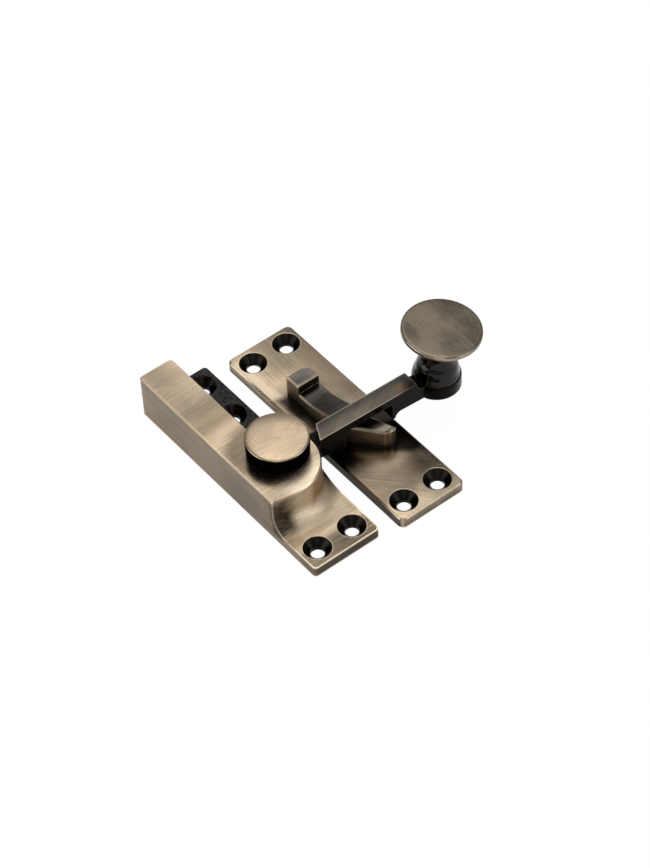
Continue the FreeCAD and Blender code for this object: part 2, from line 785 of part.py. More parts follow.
def build_keep(doc):
    """Keep: plate, and the rib with its stop, saddle, ramp and bent tip."""
    body = new_body(doc, "keep_plate")
    x = size("screw_inset") - size("plate_length") + size("keep_shift")
    y = size("plate_width") / 2 + size("sash_gap")
    body.Placement.Base = FreeCAD.Vector(x.number, y.number, 0)
    body.setExpression("Placement.Base.x", x.formula)
    body.setExpression("Placement.Base.y", y.formula)
    length = size("plate_length")
    width = size("plate_width")
    thick = size("plate_thick")
    start = size("rib_start")
    side = size("rib_side")
    outer = side + size("rib_width")
    stop_outer = outer - size("stop_taper")
    stop_top = size("stop_height")
    saddle_start = start + size("stop_length")
    ramp_start = saddle_start + size("saddle_length")
    ramp_end = ramp_start + size("ramp_length")

    sketch = draw_box(new_sketch(body, "plate_outline", "XY_Plane"), ZERO, ZERO, length, width)
    extrude(body, "Pad", "plate", sketch, thick)
    sketch = draw_outline(new_sketch(body, "rib_outline", "XY_Plane"), [
        Corner(start, side),
        Corner(size("bend_inner"), side),
        Corner(size("tip_inner_x"), size("tip_inner_y"), radius=size("tip_round"), turn=1),
        Corner(size("tip_outer_x"), size("tip_outer_y")),
        Corner(size("bend_outer"), outer),
        Corner(start, stop_outer),
    ])
    extrude(body, "Pad", "rib", sketch, stop_top)
    sketch = new_sketch(body, "rib_top_profile", "XZ_Plane")
    draw_outline(sketch, [
        Corner(saddle_start, size("saddle_height")),
        Corner(ramp_start, size("saddle_height"), radius=size("ramp_radius"), turn=1),
        Corner(ramp_end, size("ramp_height")),
        Corner(length - start, size("tip_height")),
        Corner(length - start, stop_top + CUT_PAST),
        Corner(saddle_start, stop_top + CUT_PAST),
    ])
    extrude(body, "Pocket", "rib_top", sketch, width, backwards=False)

    inset = size("screw_inset")
    edge_line = width / 2 - size("screw_spread") / 2
    hole = screw_hole(body, "rear_screw", inset, edge_line)
    repeat(body, "rear_screws", hole, "Y_Axis", size("screw_spread"))
    hole = screw_hole(body, "front_screw", length - inset, edge_line)
    repeat(body, "front_screws", hole, "Y_Axis", size("screw_spread"))

    round_edges(body, "corners", size("keep_corner_round"), upright_at(
        (ZERO, ZERO), (length, ZERO), (length, width), (ZERO, width)))
    round_edges(body, "stop_corners", size("stop_round"), upright_at((start, stop_outer)))
    round_edges(body, "rib_bends", size("bend_round"), upright_at(
        (size("bend_inner"), side), (size("bend_outer"), outer)))
    break_edges(body, "rib_rim", size("rib_edge_break"), rim_above(
        size("saddle_height"), stop_top))
    break_edges(body, "plate_top_edges", size("keep_edge_break"), level_at(thick, on_rim(
        length.number, width.number)))
    return body


def check(doc, bodies):
    """Stop if any object of the document failed, or a piece has no sound shape."""
    doc.recompute()
    for item in doc.Objects:
        if {"Invalid", "Error"} & set(item.State):
            raise RuntimeError("%s failed to build" % item.Label)
    for body in bodies:
        if body.Shape.isNull() or not body.Shape.isValid():
            raise RuntimeError("%s has no sound shape" % body.Label)
        if len(body.Shape.Solids) != 1:
            raise RuntimeError("%s is %d solids" % (body.Label, len(body.Shape.Solids)))


def main():
    os.makedirs("parts", exist_ok=True)
    doc = FreeCAD.newDocument("quadrant_fastener")
    make_sheet(doc)
    bodies = [build_casting(doc), build_pin(doc)]
    bodies += build_washers(doc)
    bodies += [build_arm(doc), build_knob(doc), build_keep(doc)]
    check(doc, bodies)
    for body in bodies:
        body.Shape.exportStep("parts/%s.step" % body.Label)


main()
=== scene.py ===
"""Looks for the quadrant fastener: finishes, turned pieces, studio and camera.

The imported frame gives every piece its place. The casting, the keep and the arm keep their
solids and are dressed; the knob, the pivot pin and both washers are turned anew with the soft
corners of real turned work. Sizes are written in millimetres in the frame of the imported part,
and MM turns them into metres. Fields that hold an angle hold it in degrees.
"""

from __future__ import annotations

import json
import logging
import math
from dataclasses import dataclass, field
from enum import Enum, IntEnum
from functools import partial, reduce
from typing import Any

import bmesh
import bpy
from mathutils import Matrix, Vector

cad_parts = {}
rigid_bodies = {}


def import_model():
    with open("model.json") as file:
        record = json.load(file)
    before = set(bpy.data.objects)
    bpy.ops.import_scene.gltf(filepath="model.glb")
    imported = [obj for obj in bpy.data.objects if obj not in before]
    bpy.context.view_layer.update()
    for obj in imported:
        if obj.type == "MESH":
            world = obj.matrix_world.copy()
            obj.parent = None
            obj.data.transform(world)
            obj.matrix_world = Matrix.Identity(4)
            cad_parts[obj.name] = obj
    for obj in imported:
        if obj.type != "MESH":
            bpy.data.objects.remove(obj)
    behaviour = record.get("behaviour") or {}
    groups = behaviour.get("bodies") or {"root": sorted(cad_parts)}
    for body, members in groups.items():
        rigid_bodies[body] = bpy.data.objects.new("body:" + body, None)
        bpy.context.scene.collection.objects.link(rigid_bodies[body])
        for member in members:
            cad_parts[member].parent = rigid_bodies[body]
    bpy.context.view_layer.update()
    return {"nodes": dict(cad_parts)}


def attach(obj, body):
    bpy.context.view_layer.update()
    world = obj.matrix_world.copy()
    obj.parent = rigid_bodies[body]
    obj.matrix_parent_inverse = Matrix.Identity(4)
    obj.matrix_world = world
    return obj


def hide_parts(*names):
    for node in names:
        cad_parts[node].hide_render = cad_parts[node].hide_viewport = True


log = logging.getLogger("quadrant_fastener")

MM = 0.001
Triple = tuple[float, float, float]
Spot = tuple[float, float]
Surface = tuple[Any, Any]


class Body(Enum):
    """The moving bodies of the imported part."""

    FASTENER = "fastener_body"
    ARM = "arm"


class Slot(Enum):
    """The finishes that the record names."""

    BRASS = "antique_brass"
    BLACKED = "dark_brass"
    STEEL = "washer_steel"


class Skin(Enum):
    """Which of its piece's finishes a turned band shows: the first one, or the black."""

    BRUSHED = 0
    BLACK = 1


class Axis(IntEnum):
    """The axes of the frame."""

    X = 0
    Y = 1
    Z = 2


@dataclass(frozen=True)
class BrassTones:
    """The tones of one aged brass surface, from rubbed bright to the dark of a recess."""

    bright: Triple
    mid: Triple
    dark: Triple


@dataclass(frozen=True)
class Brushing:
    """How a face was brushed: its direction from +X, and the size of its strokes."""

    turn: float
    length: float = 15.0
    width: float = 0.18


@dataclass(frozen=True)
class Zone:
    """A box in the frame that takes another state, fading over its soft margin."""

    low: Triple
    high: Triple
    soft: float


@dataclass(frozen=True)
class Patch(Zone):
    """A zone where a state of the surface shows more, such as patina, bare metal or a painted
    shade or highlight.
    """

    strength: float


@dataclass(frozen=True)
class Relief:
    """How strongly the height of a surface shows, and how deep it is."""

    strength: float
    depth: float


@dataclass(frozen=True)
class Sinks:
    """The countersunk holes of a plate; the first ones, up to rimmed, have rubbed rims."""

    centres: tuple[Spot, ...]
    rimmed: int
    head: float = 3.62
    top: float = 3.0


WARM_BRASS = BrassTones((0.52, 0.40, 0.272), (0.30, 0.238, 0.168), (0.013, 0.011, 0.009))
PALE_BRASS = BrassTones((0.50, 0.385, 0.260), (0.345, 0.270, 0.186), (0.013, 0.011, 0.009))
GREY_BRASS = BrassTones((0.150, 0.124, 0.094), (0.060, 0.050, 0.039), (0.030, 0.026, 0.022))
DIM_BRASS = BrassTones((0.142, 0.119, 0.091), (0.080, 0.067, 0.053), (0.018, 0.020, 0.021))
SLATE_BRASS = BrassTones((0.130, 0.119, 0.102), (0.046, 0.043, 0.038), (0.010, 0.009, 0.008))
EDGE_GLEAM: Triple = (1.0, 0.86, 0.64)
FLARE_BLUSH: Triple = (0.40, 0.235, 0.095)
ARM_BLUSH: Triple = (0.20, 0.105, 0.05)
BLACK_PATINA: Triple = (0.0035, 0.003, 0.0025)
BROWN_PATINA: Triple = (0.014, 0.011, 0.008)
THIN_PATINA: Triple = (0.055, 0.049, 0.043)
RUBBED_PATINA: Triple = (0.16, 0.115, 0.07)
CAST_PIT: Triple = (0.004, 0.004, 0.004)
CAST_GRAIN: Triple = (0.042, 0.039, 0.036)
WHITE: Triple = (1.0, 1.0, 1.0)

ALONG = Brushing(0)
ACROSS = Brushing(90)
STREAKS = Brushing(90, 13, 0.30)
# The cast skin's relief, and how high the strokes and the floor of a hole stand in it.
CAST_RELIEF = Relief(0.6, 0.16)
STROKE_HEIGHT, HOLE_HEIGHT = 0.05, 0.5
HOLE_GLOSS, HOLE_BARE = 0.22, 0.16
SHADING_WEIGHT = 80


def outward(azimuth: float, elevation: float) -> Vector:
    """Find the direction from the part to a place round it.

    Args:
        azimuth: The turn from -Y towards +X, in degrees.
        elevation: The rise above the floor, in degrees.

    Returns:
        The direction.
    """
    turn, rise = math.radians(azimuth), math.radians(elevation)
    return Vector((math.sin(turn) * math.cos(rise), -math.cos(turn) * math.cos(rise),
                   math.sin(rise)))


def stand(name: str, data: bpy.types.ID) -> bpy.types.Object:
    """Put a new object into the scene.

    Args:
        name: The object's name.
        data: Its mesh, lamp or camera.

    Returns:
        The object.
    """
    made = bpy.data.objects.new(name, data)
    bpy.context.scene.collection.objects.link(made)
    return made


def shade_evenly(piece: bpy.types.Object) -> None:
    """Let the broad faces of a piece rule its shading, so that its flats look flat.

    Args:
        piece: The piece.
    """
    even = piece.modifiers.new("even_shading", "WEIGHTED_NORMAL")
    even.keep_sharp = False
    even.weight = SHADING_WEIGHT


class Wiring:
    """Builds the nodes of one tree and joins them."""

    def __init__(self, tree: bpy.types.NodeTree) -> None:
        """Hold the tree that the nodes go into."""
        self.tree = tree

    def node(self, kind: str, **settings: Any) -> bpy.types.Node:
        """Add a node.

        Args:
            kind: The node's type name.
            **settings: Properties to set on the node.

        Returns:
            The new node.
        """
        made = self.tree.nodes.new(kind)
        for name, value in settings.items():
            setattr(made, name, value)
        return made

    def feed(self, target: bpy.types.NodeSocket, value: Any) -> None:
        """Link a socket, or set its value.

        Args:
            target: The input socket.
            value: Another node's output socket, or a plain value.
        """
        if isinstance(value, bpy.types.NodeSocket):
            self.tree.links.new(value, target)
        else:
            target.default_value = value

    def fed(self, kind: str, feeds: dict[int | str, Any], **settings: Any) -> Any:
        """Add a node and feed its inputs.

        Args:
            kind: The node's type name.
            feeds: The value or socket for each input, by its place or its name.
            **settings: Properties to set on the node.

        Returns:
            The node's outputs.
        """
        made = self.node(kind, **settings)
        for label, value in feeds.items():
            self.feed(made.inputs[label], value)
        return made.outputs

    def math(self, operation: str, first: Any, second: Any = 0.0,
             clamp: bool = False) -> bpy.types.NodeSocket:
        """Work out a sum of two values.

        Args:
            operation: The name of the sum.
            first: A socket or a number.
            second: A socket or a number.
            clamp: Whether the result is kept between 0 and 1.

        Returns:
            The result's socket.
        """
        return self.fed("ShaderNodeMath", {0: first, 1: second}, operation=operation,
                        use_clamp=clamp)[0]

    def times(self, *factors: Any) -> bpy.types.NodeSocket:
        """Return the product of several values."""
        return reduce(partial(self.math, "MULTIPLY"), factors)

    def most(self, *values: Any) -> bpy.types.NodeSocket:
        """Return the greatest of several values."""
        return reduce(partial(self.math, "MAXIMUM"), values)

    def rest(self, share: Any) -> bpy.types.NodeSocket:
        """Return what a share leaves of 1."""
        return self.math("SUBTRACT", 1.0, share)

    def vector(self, operation: str, first: Any, second: Any = (0, 0, 0),
               result: str = "Vector") -> bpy.types.NodeSocket:
        """Work out a sum of two vectors.

        Args:
            operation: The name of the sum.
            first: A socket or three numbers.
            second: A socket or three numbers.
            result: The output to take.

        Returns:
            The result's socket.
        """
        return self.fed("ShaderNodeVectorMath", {0: first, 1: second},
                        operation=operation)[result]

    def parts(self, vector: Any) -> Any:
        """Return the three parts of a vector."""
        return self.fed("ShaderNodeSeparateXYZ", {0: vector})

    def joined(self, *parts: Any) -> bpy.types.NodeSocket:
        """Return the vector of three parts."""
        return self.fed("ShaderNodeCombineXYZ", dict(enumerate(parts)))[0]

    def ramp(self, value: Any, low: float, high: float, start: float = 0.0,
             end: float = 1.0) -> bpy.types.NodeSocket:
        """Carry a value smoothly from one range to another.

        Args:
            value: The socket to read.
            low: Where the change starts.
            high: Where it ends.
            start: The result below low.
            end: The result above high.

        Returns:
            The result's socket.
        """
        return self.fed("ShaderNodeMapRange", {
            "Value": value, "From Min": low, "From Max": high, "To Min": start, "To Max": end,
        }, interpolation_type="SMOOTHSTEP")["Result"]

    def blend(self, share: Any, first: Any, second: Any) -> bpy.types.NodeSocket:
        """Mix two colours.

        Args:
            share: How much of the second shows.
            first: A socket or a colour.
            second: A socket or a colour.

        Returns:
            The mixed colour's socket.
        """
        first, second = (colour if isinstance(colour, bpy.types.NodeSocket) else (*colour, 1.0)
                         for colour in (first, second))
        return self.fed("ShaderNodeMix", {"Factor": share, 6: first, 7: second},
                        data_type="RGBA")[2]

    def between(self, share: Any, first: Any, second: Any) -> bpy.types.NodeSocket:
        """Mix two numbers.

        Args:
            share: How much of the second shows.
            first: A socket or a number.
            second: A socket or a number.

        Returns:
            The mixed number's socket.
        """
        return self.fed("ShaderNodeMix", {"Factor": share, 2: first, 3: second},
                        data_type="FLOAT")[0]

    def noise(self, where: Any, scale: float, detail: float,
              roughness: float = 0.5) -> bpy.types.NodeSocket:
        """Add a noise.

        Args:
            where: The coordinates to read it at.
            scale: Its frequency.
            detail: How many finer layers it has.
            roughness: How strong those are.

        Returns:
            The noise's value, about 0.5 on average.
        """
        return self.fed("ShaderNodeTexNoise", {
            "Vector": where, "Scale": scale, "Detail": detail, "Roughness": roughness})["Fac"]


class Effects:
    """The shader effects that several finishes share, each one a node group."""

    VECTORS = ("Vector", "Centre", "Half")
    COLOURS = ("Bright", "Mid", "Dark", "Color")
    # The fine strokes and the broad bands: how long and wide they are, and how layered.
    STROKES = (("Fine", 1.0, 1.0, 5.0), ("Broad", 2.2, 5.5, 3.0))
    STROKE_BREAKUP = 0.62
    STROKE_RANGE = (0.28, 0.72)
    # Where an outer edge turns bare, how often it breaks off per metre, and how far.
    EDGE_RANGE = (0.10, 0.48)
    EDGE_BREAKS = 120.0
    EDGE_UNEVEN = (0.25, 0.62, 0.78, 1.0)
    # Where an inner corner turns dark, how often its margin wavers per metre, and how far.
    HOLLOW_RANGE = (0.08, 0.46)
    SMOKE = 190.0
    SMOKE_DEPTH = 0.22
    # How cast skin is made of its round grains and the rough between them.
    GRAIN_SOFT = 0.6
    GRAIN_SHARE, ROUGH_SHARE = 0.6, 0.8
    PIT_RANGE = (0.42, 0.86)
    CLOUD_RANGE = (0.30, 0.70)
    # How much the fine strokes, the broad bands and the clouds add to the tone of brass.
    TONE_SHARES = (("Fine", 0.34), ("Broad", 0.13), ("Cloud", 0.53))
    TONE_RANGE = (0.10, 0.90)
    STROKE_CLEAR = 0.975
    GLEAM_SHARE, EDGE_SHARE = 0.62, 0.85
    # The roughness between the strokes, along them, and on the rubbed edges.
    BRASS_ROUGH = (0.27, 0.19, 0.24)
    # How much the clouds brown the black and dull it, and how far its edges are rubbed.
    BROWN_SHARE, DULL_SHARE, RUBBED_SHARE = 0.5, 0.10, 0.55

    def __init__(self) -> None:
        """Build every group once."""
        self.grain = self._grain()
        self.edge = self._edge()
        self.hollow = self._hollow()
        self.cast = self._cast()
        self.pits = self._pits()
        self.clouds = self._clouds()
        self.box = self._box()
        self.disc = self._disc()
        self.brass = self._brass()
        self.blacked = self._blacked()

    def _start(self, name: str, inputs: tuple[str, ...], *outputs: str
               ) -> tuple[Wiring, Any, Any]:
        """Start a group with its named inputs and outputs.

        Args:
            name: The group's name.
            inputs: Each input's name, which says what kind of socket it is.
            *outputs: Each output's name, likewise.

        Returns:
            The group's wiring, its input sockets and its output sockets.
        """
        tree = bpy.data.node_groups.new(name, "ShaderNodeTree")
        for way, labels in (("INPUT", inputs), ("OUTPUT", outputs)):
            for label in labels:
                kind = ("Vector" if label in self.VECTORS
                        else "Color" if label in self.COLOURS else "Float")
                tree.interface.new_socket(label, in_out=way, socket_type=f"NodeSocket{kind}")
        w = Wiring(tree)
        return w, w.node("NodeGroupInput").outputs, w.node("NodeGroupOutput").inputs

    def _grain(self) -> bpy.types.NodeTree:
        """Build the brush strokes: fine lines and broader bands along one direction.

        Returns:
            The group.
        """
        w, given, out = self._start("brushed_grain", ("Vector", "Turn", "Length", "Width"),
                                    "Fine", "Broad")
        turned = w.fed("ShaderNodeVectorRotate", {
            "Vector": given["Vector"], "Angle": w.times(given["Turn"], -1.0),
        }, rotation_type="Z_AXIS")[0]
        for label, reach, width, layers in self.STROKES:
            across = w.times(given["Width"], width)
            size = w.joined(w.times(given["Length"], reach), across, across)
            lines = w.noise(w.vector("DIVIDE", turned, size), 1.0, layers,
                            self.STROKE_BREAKUP)
            w.feed(out[label], w.ramp(lines, *self.STROKE_RANGE))
        return w.tree

    def _edge(self) -> bpy.types.NodeTree:
        """Build the mask of rubbed outer edges, broken here and there.

        Returns:
            The group.
        """
        w, given, out = self._start("rubbed_edge", ("Vector", "Reach"), "Edge")
        inner = w.fed("ShaderNodeAmbientOcclusion", {"Distance": given["Reach"]}, samples=12,
                      inside=True, only_local=True)
        bare = w.ramp(w.rest(inner["AO"]), *self.EDGE_RANGE)
        breaks = w.noise(given["Vector"], self.EDGE_BREAKS, 2.0)
        uneven = w.ramp(breaks, *self.EDGE_UNEVEN)
        w.feed(out["Edge"], w.math("MULTIPLY", bare, uneven, clamp=True))
        return w.tree

    def _hollow(self) -> bpy.types.NodeTree:
        """Build the mask of inner corners, where the dark patina stays.

        Returns:
            The group.
        """
        w, given, out = self._start("patina_hollow", ("Vector", "Reach"), "Hollow")
        outer = w.fed("ShaderNodeAmbientOcclusion", {"Distance": given["Reach"]}, samples=6,
                      only_local=True)
        smoke = w.math("SUBTRACT", w.noise(given["Vector"], self.SMOKE, 4.0), 0.5)
        smoky = w.math("ADD", w.rest(outer["AO"]), w.times(smoke, self.SMOKE_DEPTH))
        w.feed(out["Hollow"], w.ramp(smoky, *self.HOLLOW_RANGE))
        return w.tree

    def _pits(self) -> bpy.types.NodeTree:
        """Build the tone of a cast face, black in its pits and grey on its grains.

        Returns:
            The group.
        """
        w, given, out = self._start("cast_pits", ("Height",), "Color")
        high = w.ramp(given["Height"], *self.PIT_RANGE)
        w.feed(out["Color"], w.blend(high, CAST_PIT, CAST_GRAIN))
        return w.tree

    def _cast(self) -> bpy.types.NodeTree:
        """Build the pebbled height of a face left as it was cast.

        Returns:
            The group.
        """
        w, given, out = self._start("cast_skin", ("Vector", "Grit"), "Height")
        where = w.vector("DIVIDE", given["Vector"], given["Grit"])
        cells = w.fed("ShaderNodeTexVoronoi", {
            "Vector": where, "Scale": 1.0, "Smoothness": self.GRAIN_SOFT}, feature="SMOOTH_F1")
        rough = w.noise(where, 0.7, 4.0, 0.6)
        w.feed(out["Height"], w.math("ADD", w.times(cells["Distance"], self.GRAIN_SHARE),
                                     w.times(rough, self.ROUGH_SHARE)))
        return w.tree

    def _clouds(self) -> bpy.types.NodeTree:
        """Build the slow drift of tone over a hand-finished face.

        Returns:
            The group.
        """
        w, given, out = self._start("tone_clouds", ("Vector", "Span"), "Cloud")
        where = w.vector("DIVIDE", given["Vector"], given["Span"])
        w.feed(out["Cloud"], w.ramp(w.noise(where, 1.0, 2.5), *self.CLOUD_RANGE))
        return w.tree

    def _box(self) -> bpy.types.NodeTree:
        """Build the mask of a box zone with a soft margin.

        Returns:
            The group.
        """
        w, given, out = self._start("box_zone", ("Vector", "Centre", "Half", "Soft"), "Zone")
        away = w.vector("ABSOLUTE", w.vector("SUBTRACT", given["Vector"], given["Centre"]))
        furthest = w.most(*w.parts(w.vector("SUBTRACT", away, given["Half"])))
        share = w.math("DIVIDE", furthest, given["Soft"])
        w.feed(out["Zone"], w.ramp(share, 0.0, 1.0, 1.0, 0.0))
        return w.tree

    def _disc(self) -> bpy.types.NodeTree:
        """Build the mask of a round zone that stands upright through a piece.

        Returns:
            The group.
        """
        w, given, out = self._start("round_zone", ("Vector", "Centre", "Radius", "Soft"),
                                    "Zone")
        level = w.vector("MULTIPLY", w.vector("SUBTRACT", given["Vector"], given["Centre"]),
                         (1.0, 1.0, 0.0))
        past = w.math("SUBTRACT", w.vector("LENGTH", level, result="Value"), given["Radius"])
        w.feed(out["Zone"], w.ramp(w.math("DIVIDE", past, given["Soft"]), 0.0, 1.0, 1.0, 0.0))
        return w.tree

    def _brass(self) -> bpy.types.NodeTree:
        """Build the aged brass: strokes over drifting tone, dark hollows and rubbed edges.

        Returns:
            The group.
        """
        w, given, out = self._start(
            "aged_brass", ("Bright", "Mid", "Dark", "Fine", "Broad", "Cloud", "Edge", "Hollow"),
            "Color", "Roughness")
        fine, broad, cloud = (w.times(given[label], share) for label, share in self.TONE_SHARES)
        tone = w.math("ADD", w.math("ADD", fine, broad), cloud, clamp=True)
        base = w.blend(w.ramp(tone, *self.TONE_RANGE), given["Mid"], given["Bright"])
        # The hollow mask turns the brass to its dark tone: patina, and the painted shade that
        # some pieces add to it.
        patina = w.times(given["Hollow"], w.between(given["Fine"], 1.0, self.STROKE_CLEAR))
        aged = w.blend(patina, base, given["Dark"])
        # The edge mask turns it bright: rubbed edges, and the painted highlights that some
        # pieces add to it.
        lit = w.blend(self.GLEAM_SHARE, given["Bright"], EDGE_GLEAM)
        w.feed(out["Color"], w.blend(w.times(given["Edge"], self.EDGE_SHARE), aged, lit))
        valley, stroke, rubbed = self.BRASS_ROUGH
        smooth = w.between(given["Fine"], valley, stroke)
        w.feed(out["Roughness"], w.between(given["Edge"], smooth, rubbed))
        return w.tree

    def _blacked(self) -> bpy.types.NodeTree:
        """Build the blackened brass, rubbed brown along its edges.

        Returns:
            The group.
        """
        w, given, out = self._start("blacked_brass", ("Cloud", "Edge", "Gloss", "Bare"),
                                    "Color", "Roughness")
        brown = w.blend(w.times(given["Cloud"], self.BROWN_SHARE), BLACK_PATINA, BROWN_PATINA)
        thin = w.blend(given["Bare"], brown, THIN_PATINA)
        rubbed = w.times(given["Edge"], self.RUBBED_SHARE)
        w.feed(out["Color"], w.blend(rubbed, thin, RUBBED_PATINA))
        w.feed(out["Roughness"], w.math("ADD", given["Gloss"],
                                        w.times(given["Cloud"], self.DULL_SHARE)))
        return w.tree


class Paint:
    """One material in the making: its coordinates, its masks and its Principled shader."""

    LOOKING_UP = (0.55, 0.9)
    LOOKING_DOWN = (-0.55, -0.35, 1.0, 0.0)
    LOOKING_AHEAD = (0.8, 0.95)
    # A screw hole's rubbed rim: where it starts, its width and its strength, and how far
    # below the plate's top it is gone and whole.
    RIM_START, RIM_WIDTH, RIM_SHARE = 0.04, 0.26, 0.38
    RIM_GONE, RIM_WHOLE = 0.3, 0.05
    # A screw hole's black: its margin, and how far below the plate's top it is whole and gone.
    SINK_MARGIN, SINK_WHOLE, SINK_GONE = 0.08, 0.12, 0.02
    STREAK_STRENGTH = 2.2
    PATINA_SPAN = 5.0
    # The direction of the strokes on an upright side leans by this from the plumb line.
    SIDE_LEAN = (0.1, 0.05)

    def __init__(self, name: str, effects: Effects) -> None:
        """Start a material.

        Args:
            name: The material's name.
            effects: The shared node groups.
        """
        self.material = bpy.data.materials.new(name)
        self.material.use_nodes = True
        self.effects = effects
        self.w = Wiring(self.material.node_tree)
        self.shader = self.material.node_tree.nodes["Principled BSDF"]
        self.place = self.w.node("ShaderNodeTexCoord").outputs["Object"]
        self.at = self.w.parts(self.place)
        self.facing = self.w.parts(self.w.node("ShaderNodeNewGeometry").outputs["Normal"])

    def use(self, group: bpy.types.NodeTree, **values: Any) -> Any:
        """Place a shared effect.

        Args:
            group: The node group.
            **values: Each input's socket or value, but for Vector, the place on the piece.

        Returns:
            The effect's output sockets.
        """
        made = self.w.node("ShaderNodeGroup", node_tree=group)
        if "Vector" in made.inputs:
            values["Vector"] = self.place
        for label, value in values.items():
            if isinstance(value, tuple) and made.inputs[label].type == "RGBA":
                value = (*value, 1.0)
            self.w.feed(made.inputs[label], value)
        return made.outputs

    def edge(self, reach: float) -> bpy.types.NodeSocket:
        """Return the mask of rubbed outer edges, as wide as the reach."""
        return self.use(self.effects.edge, Reach=reach * MM)["Edge"]

    def hollow(self, reach: float) -> bpy.types.NodeSocket:
        """Return the mask of patina in inner corners, as wide as the reach."""
        return self.use(self.effects.hollow, Reach=reach * MM)["Hollow"]

    def cloud(self, span: float) -> bpy.types.NodeSocket:
        """Return the drift of tone, from one cloud of this span to the next."""
        return self.use(self.effects.clouds, Span=span * MM)["Cloud"]

    def pebbles(self, grit: float) -> bpy.types.NodeSocket:
        """Return the height of a cast skin with grains of this size."""
        return self.use(self.effects.cast, Grit=grit * MM)["Height"]

    def upward(self) -> bpy.types.NodeSocket:
        """Return the mask of faces that look up."""
        return self.w.ramp(self.facing[Axis.Z], *self.LOOKING_UP)

    def downward(self) -> bpy.types.NodeSocket:
        """Return the mask of faces that look down."""
        return self.w.ramp(self.facing[Axis.Z], *self.LOOKING_DOWN)

    def frontward(self, share: float) -> bpy.types.NodeSocket:
        """Return the mask of faces that look to the front, up to this share."""
        return self.w.ramp(self.facing[Axis.X], *self.LOOKING_AHEAD, 0.0, share)

    def fade(self, axis: Axis, low: float, high: float, start: float = 0.0,
             end: float = 1.0) -> bpy.types.NodeSocket:
        """Carry the place along an axis smoothly from one range to another.

        Args:
            axis: The axis.
            low: Where the change starts.
            high: Where it ends.
            start: The result below low.
            end: The result above high.

        Returns:
            The result's socket.
        """
        return self.w.ramp(self.at[axis], low * MM, high * MM, start, end)

    def aslant(self, lean: float, low: float, high: float,
               start: float) -> bpy.types.NodeSocket:
        """Fade a mask out along +X, over a margin that leans against Y.

        Args:
            lean: How far the margin moves along X for each step along Y.
            low: Where the change starts.
            high: Where the mask is gone.
            start: The mask below low.

        Returns:
            The mask's socket.
        """
        leaning = self.w.math("SUBTRACT", self.at[Axis.X], self.w.times(self.at[Axis.Y], lean))
        return self.w.ramp(leaning, low * MM, high * MM, start, 0.0)

    def zone(self, zone: Zone) -> bpy.types.NodeSocket:
        """Mask a box zone.

        Args:
            zone: The box and its margin.

        Returns:
            The mask's socket.
        """
        low, high = Vector(zone.low) * MM, Vector(zone.high) * MM
        return self.use(self.effects.box, Centre=(low + high) / 2, Half=(high - low) / 2,
                        Soft=zone.soft * MM)["Zone"]

    def patches(self, patches: tuple[Patch, ...]) -> bpy.types.NodeSocket:
        """Return the joint mask of several patches."""
        return self.w.most(*(self.w.times(self.zone(one), one.strength) for one in patches))

    def discs(self, centres: tuple[Spot, ...], radius: float,
              soft: float) -> bpy.types.NodeSocket:
        """Mask several round zones of one radius.

        Args:
            centres: Where they stand.
            radius: Their radius.
            soft: The width of their margin.

        Returns:
            The joint mask's socket.
        """
        return self.w.most(*(
            self.use(self.effects.disc, Centre=(x * MM, y * MM, 0.0), Radius=radius * MM,
                     Soft=soft * MM)["Zone"] for x, y in centres))

    def rims(self, sinks: Sinks) -> bpy.types.NodeSocket:
        """Mask the rubbed rims round screw holes.

        Args:
            sinks: The holes.

        Returns:
            The mask's socket.
        """
        wide = self.discs(sinks.centres[:sinks.rimmed], sinks.head + self.RIM_START,
                          self.RIM_WIDTH)
        level = self.fade(Axis.Z, sinks.top - self.RIM_GONE, sinks.top - self.RIM_WHOLE)
        return self.w.times(wide, level, self.RIM_SHARE)

    def sunk(self, sinks: Sinks) -> bpy.types.NodeSocket:
        """Mask the inside of screw holes.

        Args:
            sinks: The holes.

        Returns:
            The mask's socket.
        """
        below = self.fade(Axis.Z, sinks.top - self.SINK_WHOLE, sinks.top - self.SINK_GONE,
                          1.0, 0.0)
        return self.w.times(self.discs(sinks.centres, sinks.head, self.SINK_MARGIN), below)

    def strokes(self, brushing: Brushing, turn: Any = None) -> Any:
        """Lay brush strokes.

        Args:
            brushing: Their direction and size.
            turn: A socket for their direction, in radians, where it changes over the piece.

        Returns:
            The output sockets for the fine strokes and the broad bands.
        """
        if turn is None:
            turn = math.radians(brushing.turn)
        return self.use(self.effects.grain, Turn=turn, Length=brushing.length * MM,
                        Width=brushing.width * MM)

    def streaked(self, mask: Any) -> bpy.types.NodeSocket:
        """Let a mask run out in streaks along Y.

        Args:
            mask: The mask.

        Returns:
            The streaked mask's socket, unchanged where the mask is full or empty.
        """
        half_open = self.w.times(mask, self.w.rest(mask))
        shift = self.w.math("SUBTRACT", self.strokes(STREAKS)["Fine"], 0.5)
        return self.w.math("ADD", mask, self.w.times(shift, half_open, self.STREAK_STRENGTH),
                           clamp=True)

    def brass(self, tones: BrassTones, brushing: Brushing, cloud_span: float, hollow: Any,
              edge: Any, turn: Any = None) -> tuple[Surface, bpy.types.NodeSocket]:
        """Lay aged brass brushed in one direction.

        Args:
            tones: Its colours.
            brushing: Its strokes.
            cloud_span: How wide the drifts of tone are.
            hollow: The mask of dark patina, with any painted shade added to it.
            edge: The mask of rubbed edges, with any painted highlight added to it.
            turn: A socket for the stroke's direction where it changes over the piece.

        Returns:
            The colour and the roughness, and the stroke's height.
        """
        strokes = self.strokes(brushing, turn)
        made = self.use(self.effects.brass, Bright=tones.bright, Mid=tones.mid,
                        Dark=tones.dark, Fine=strokes["Fine"], Broad=strokes["Broad"],
                        Cloud=self.cloud(cloud_span), Edge=edge, Hollow=hollow)
        return (made["Color"], made["Roughness"]), strokes["Fine"]

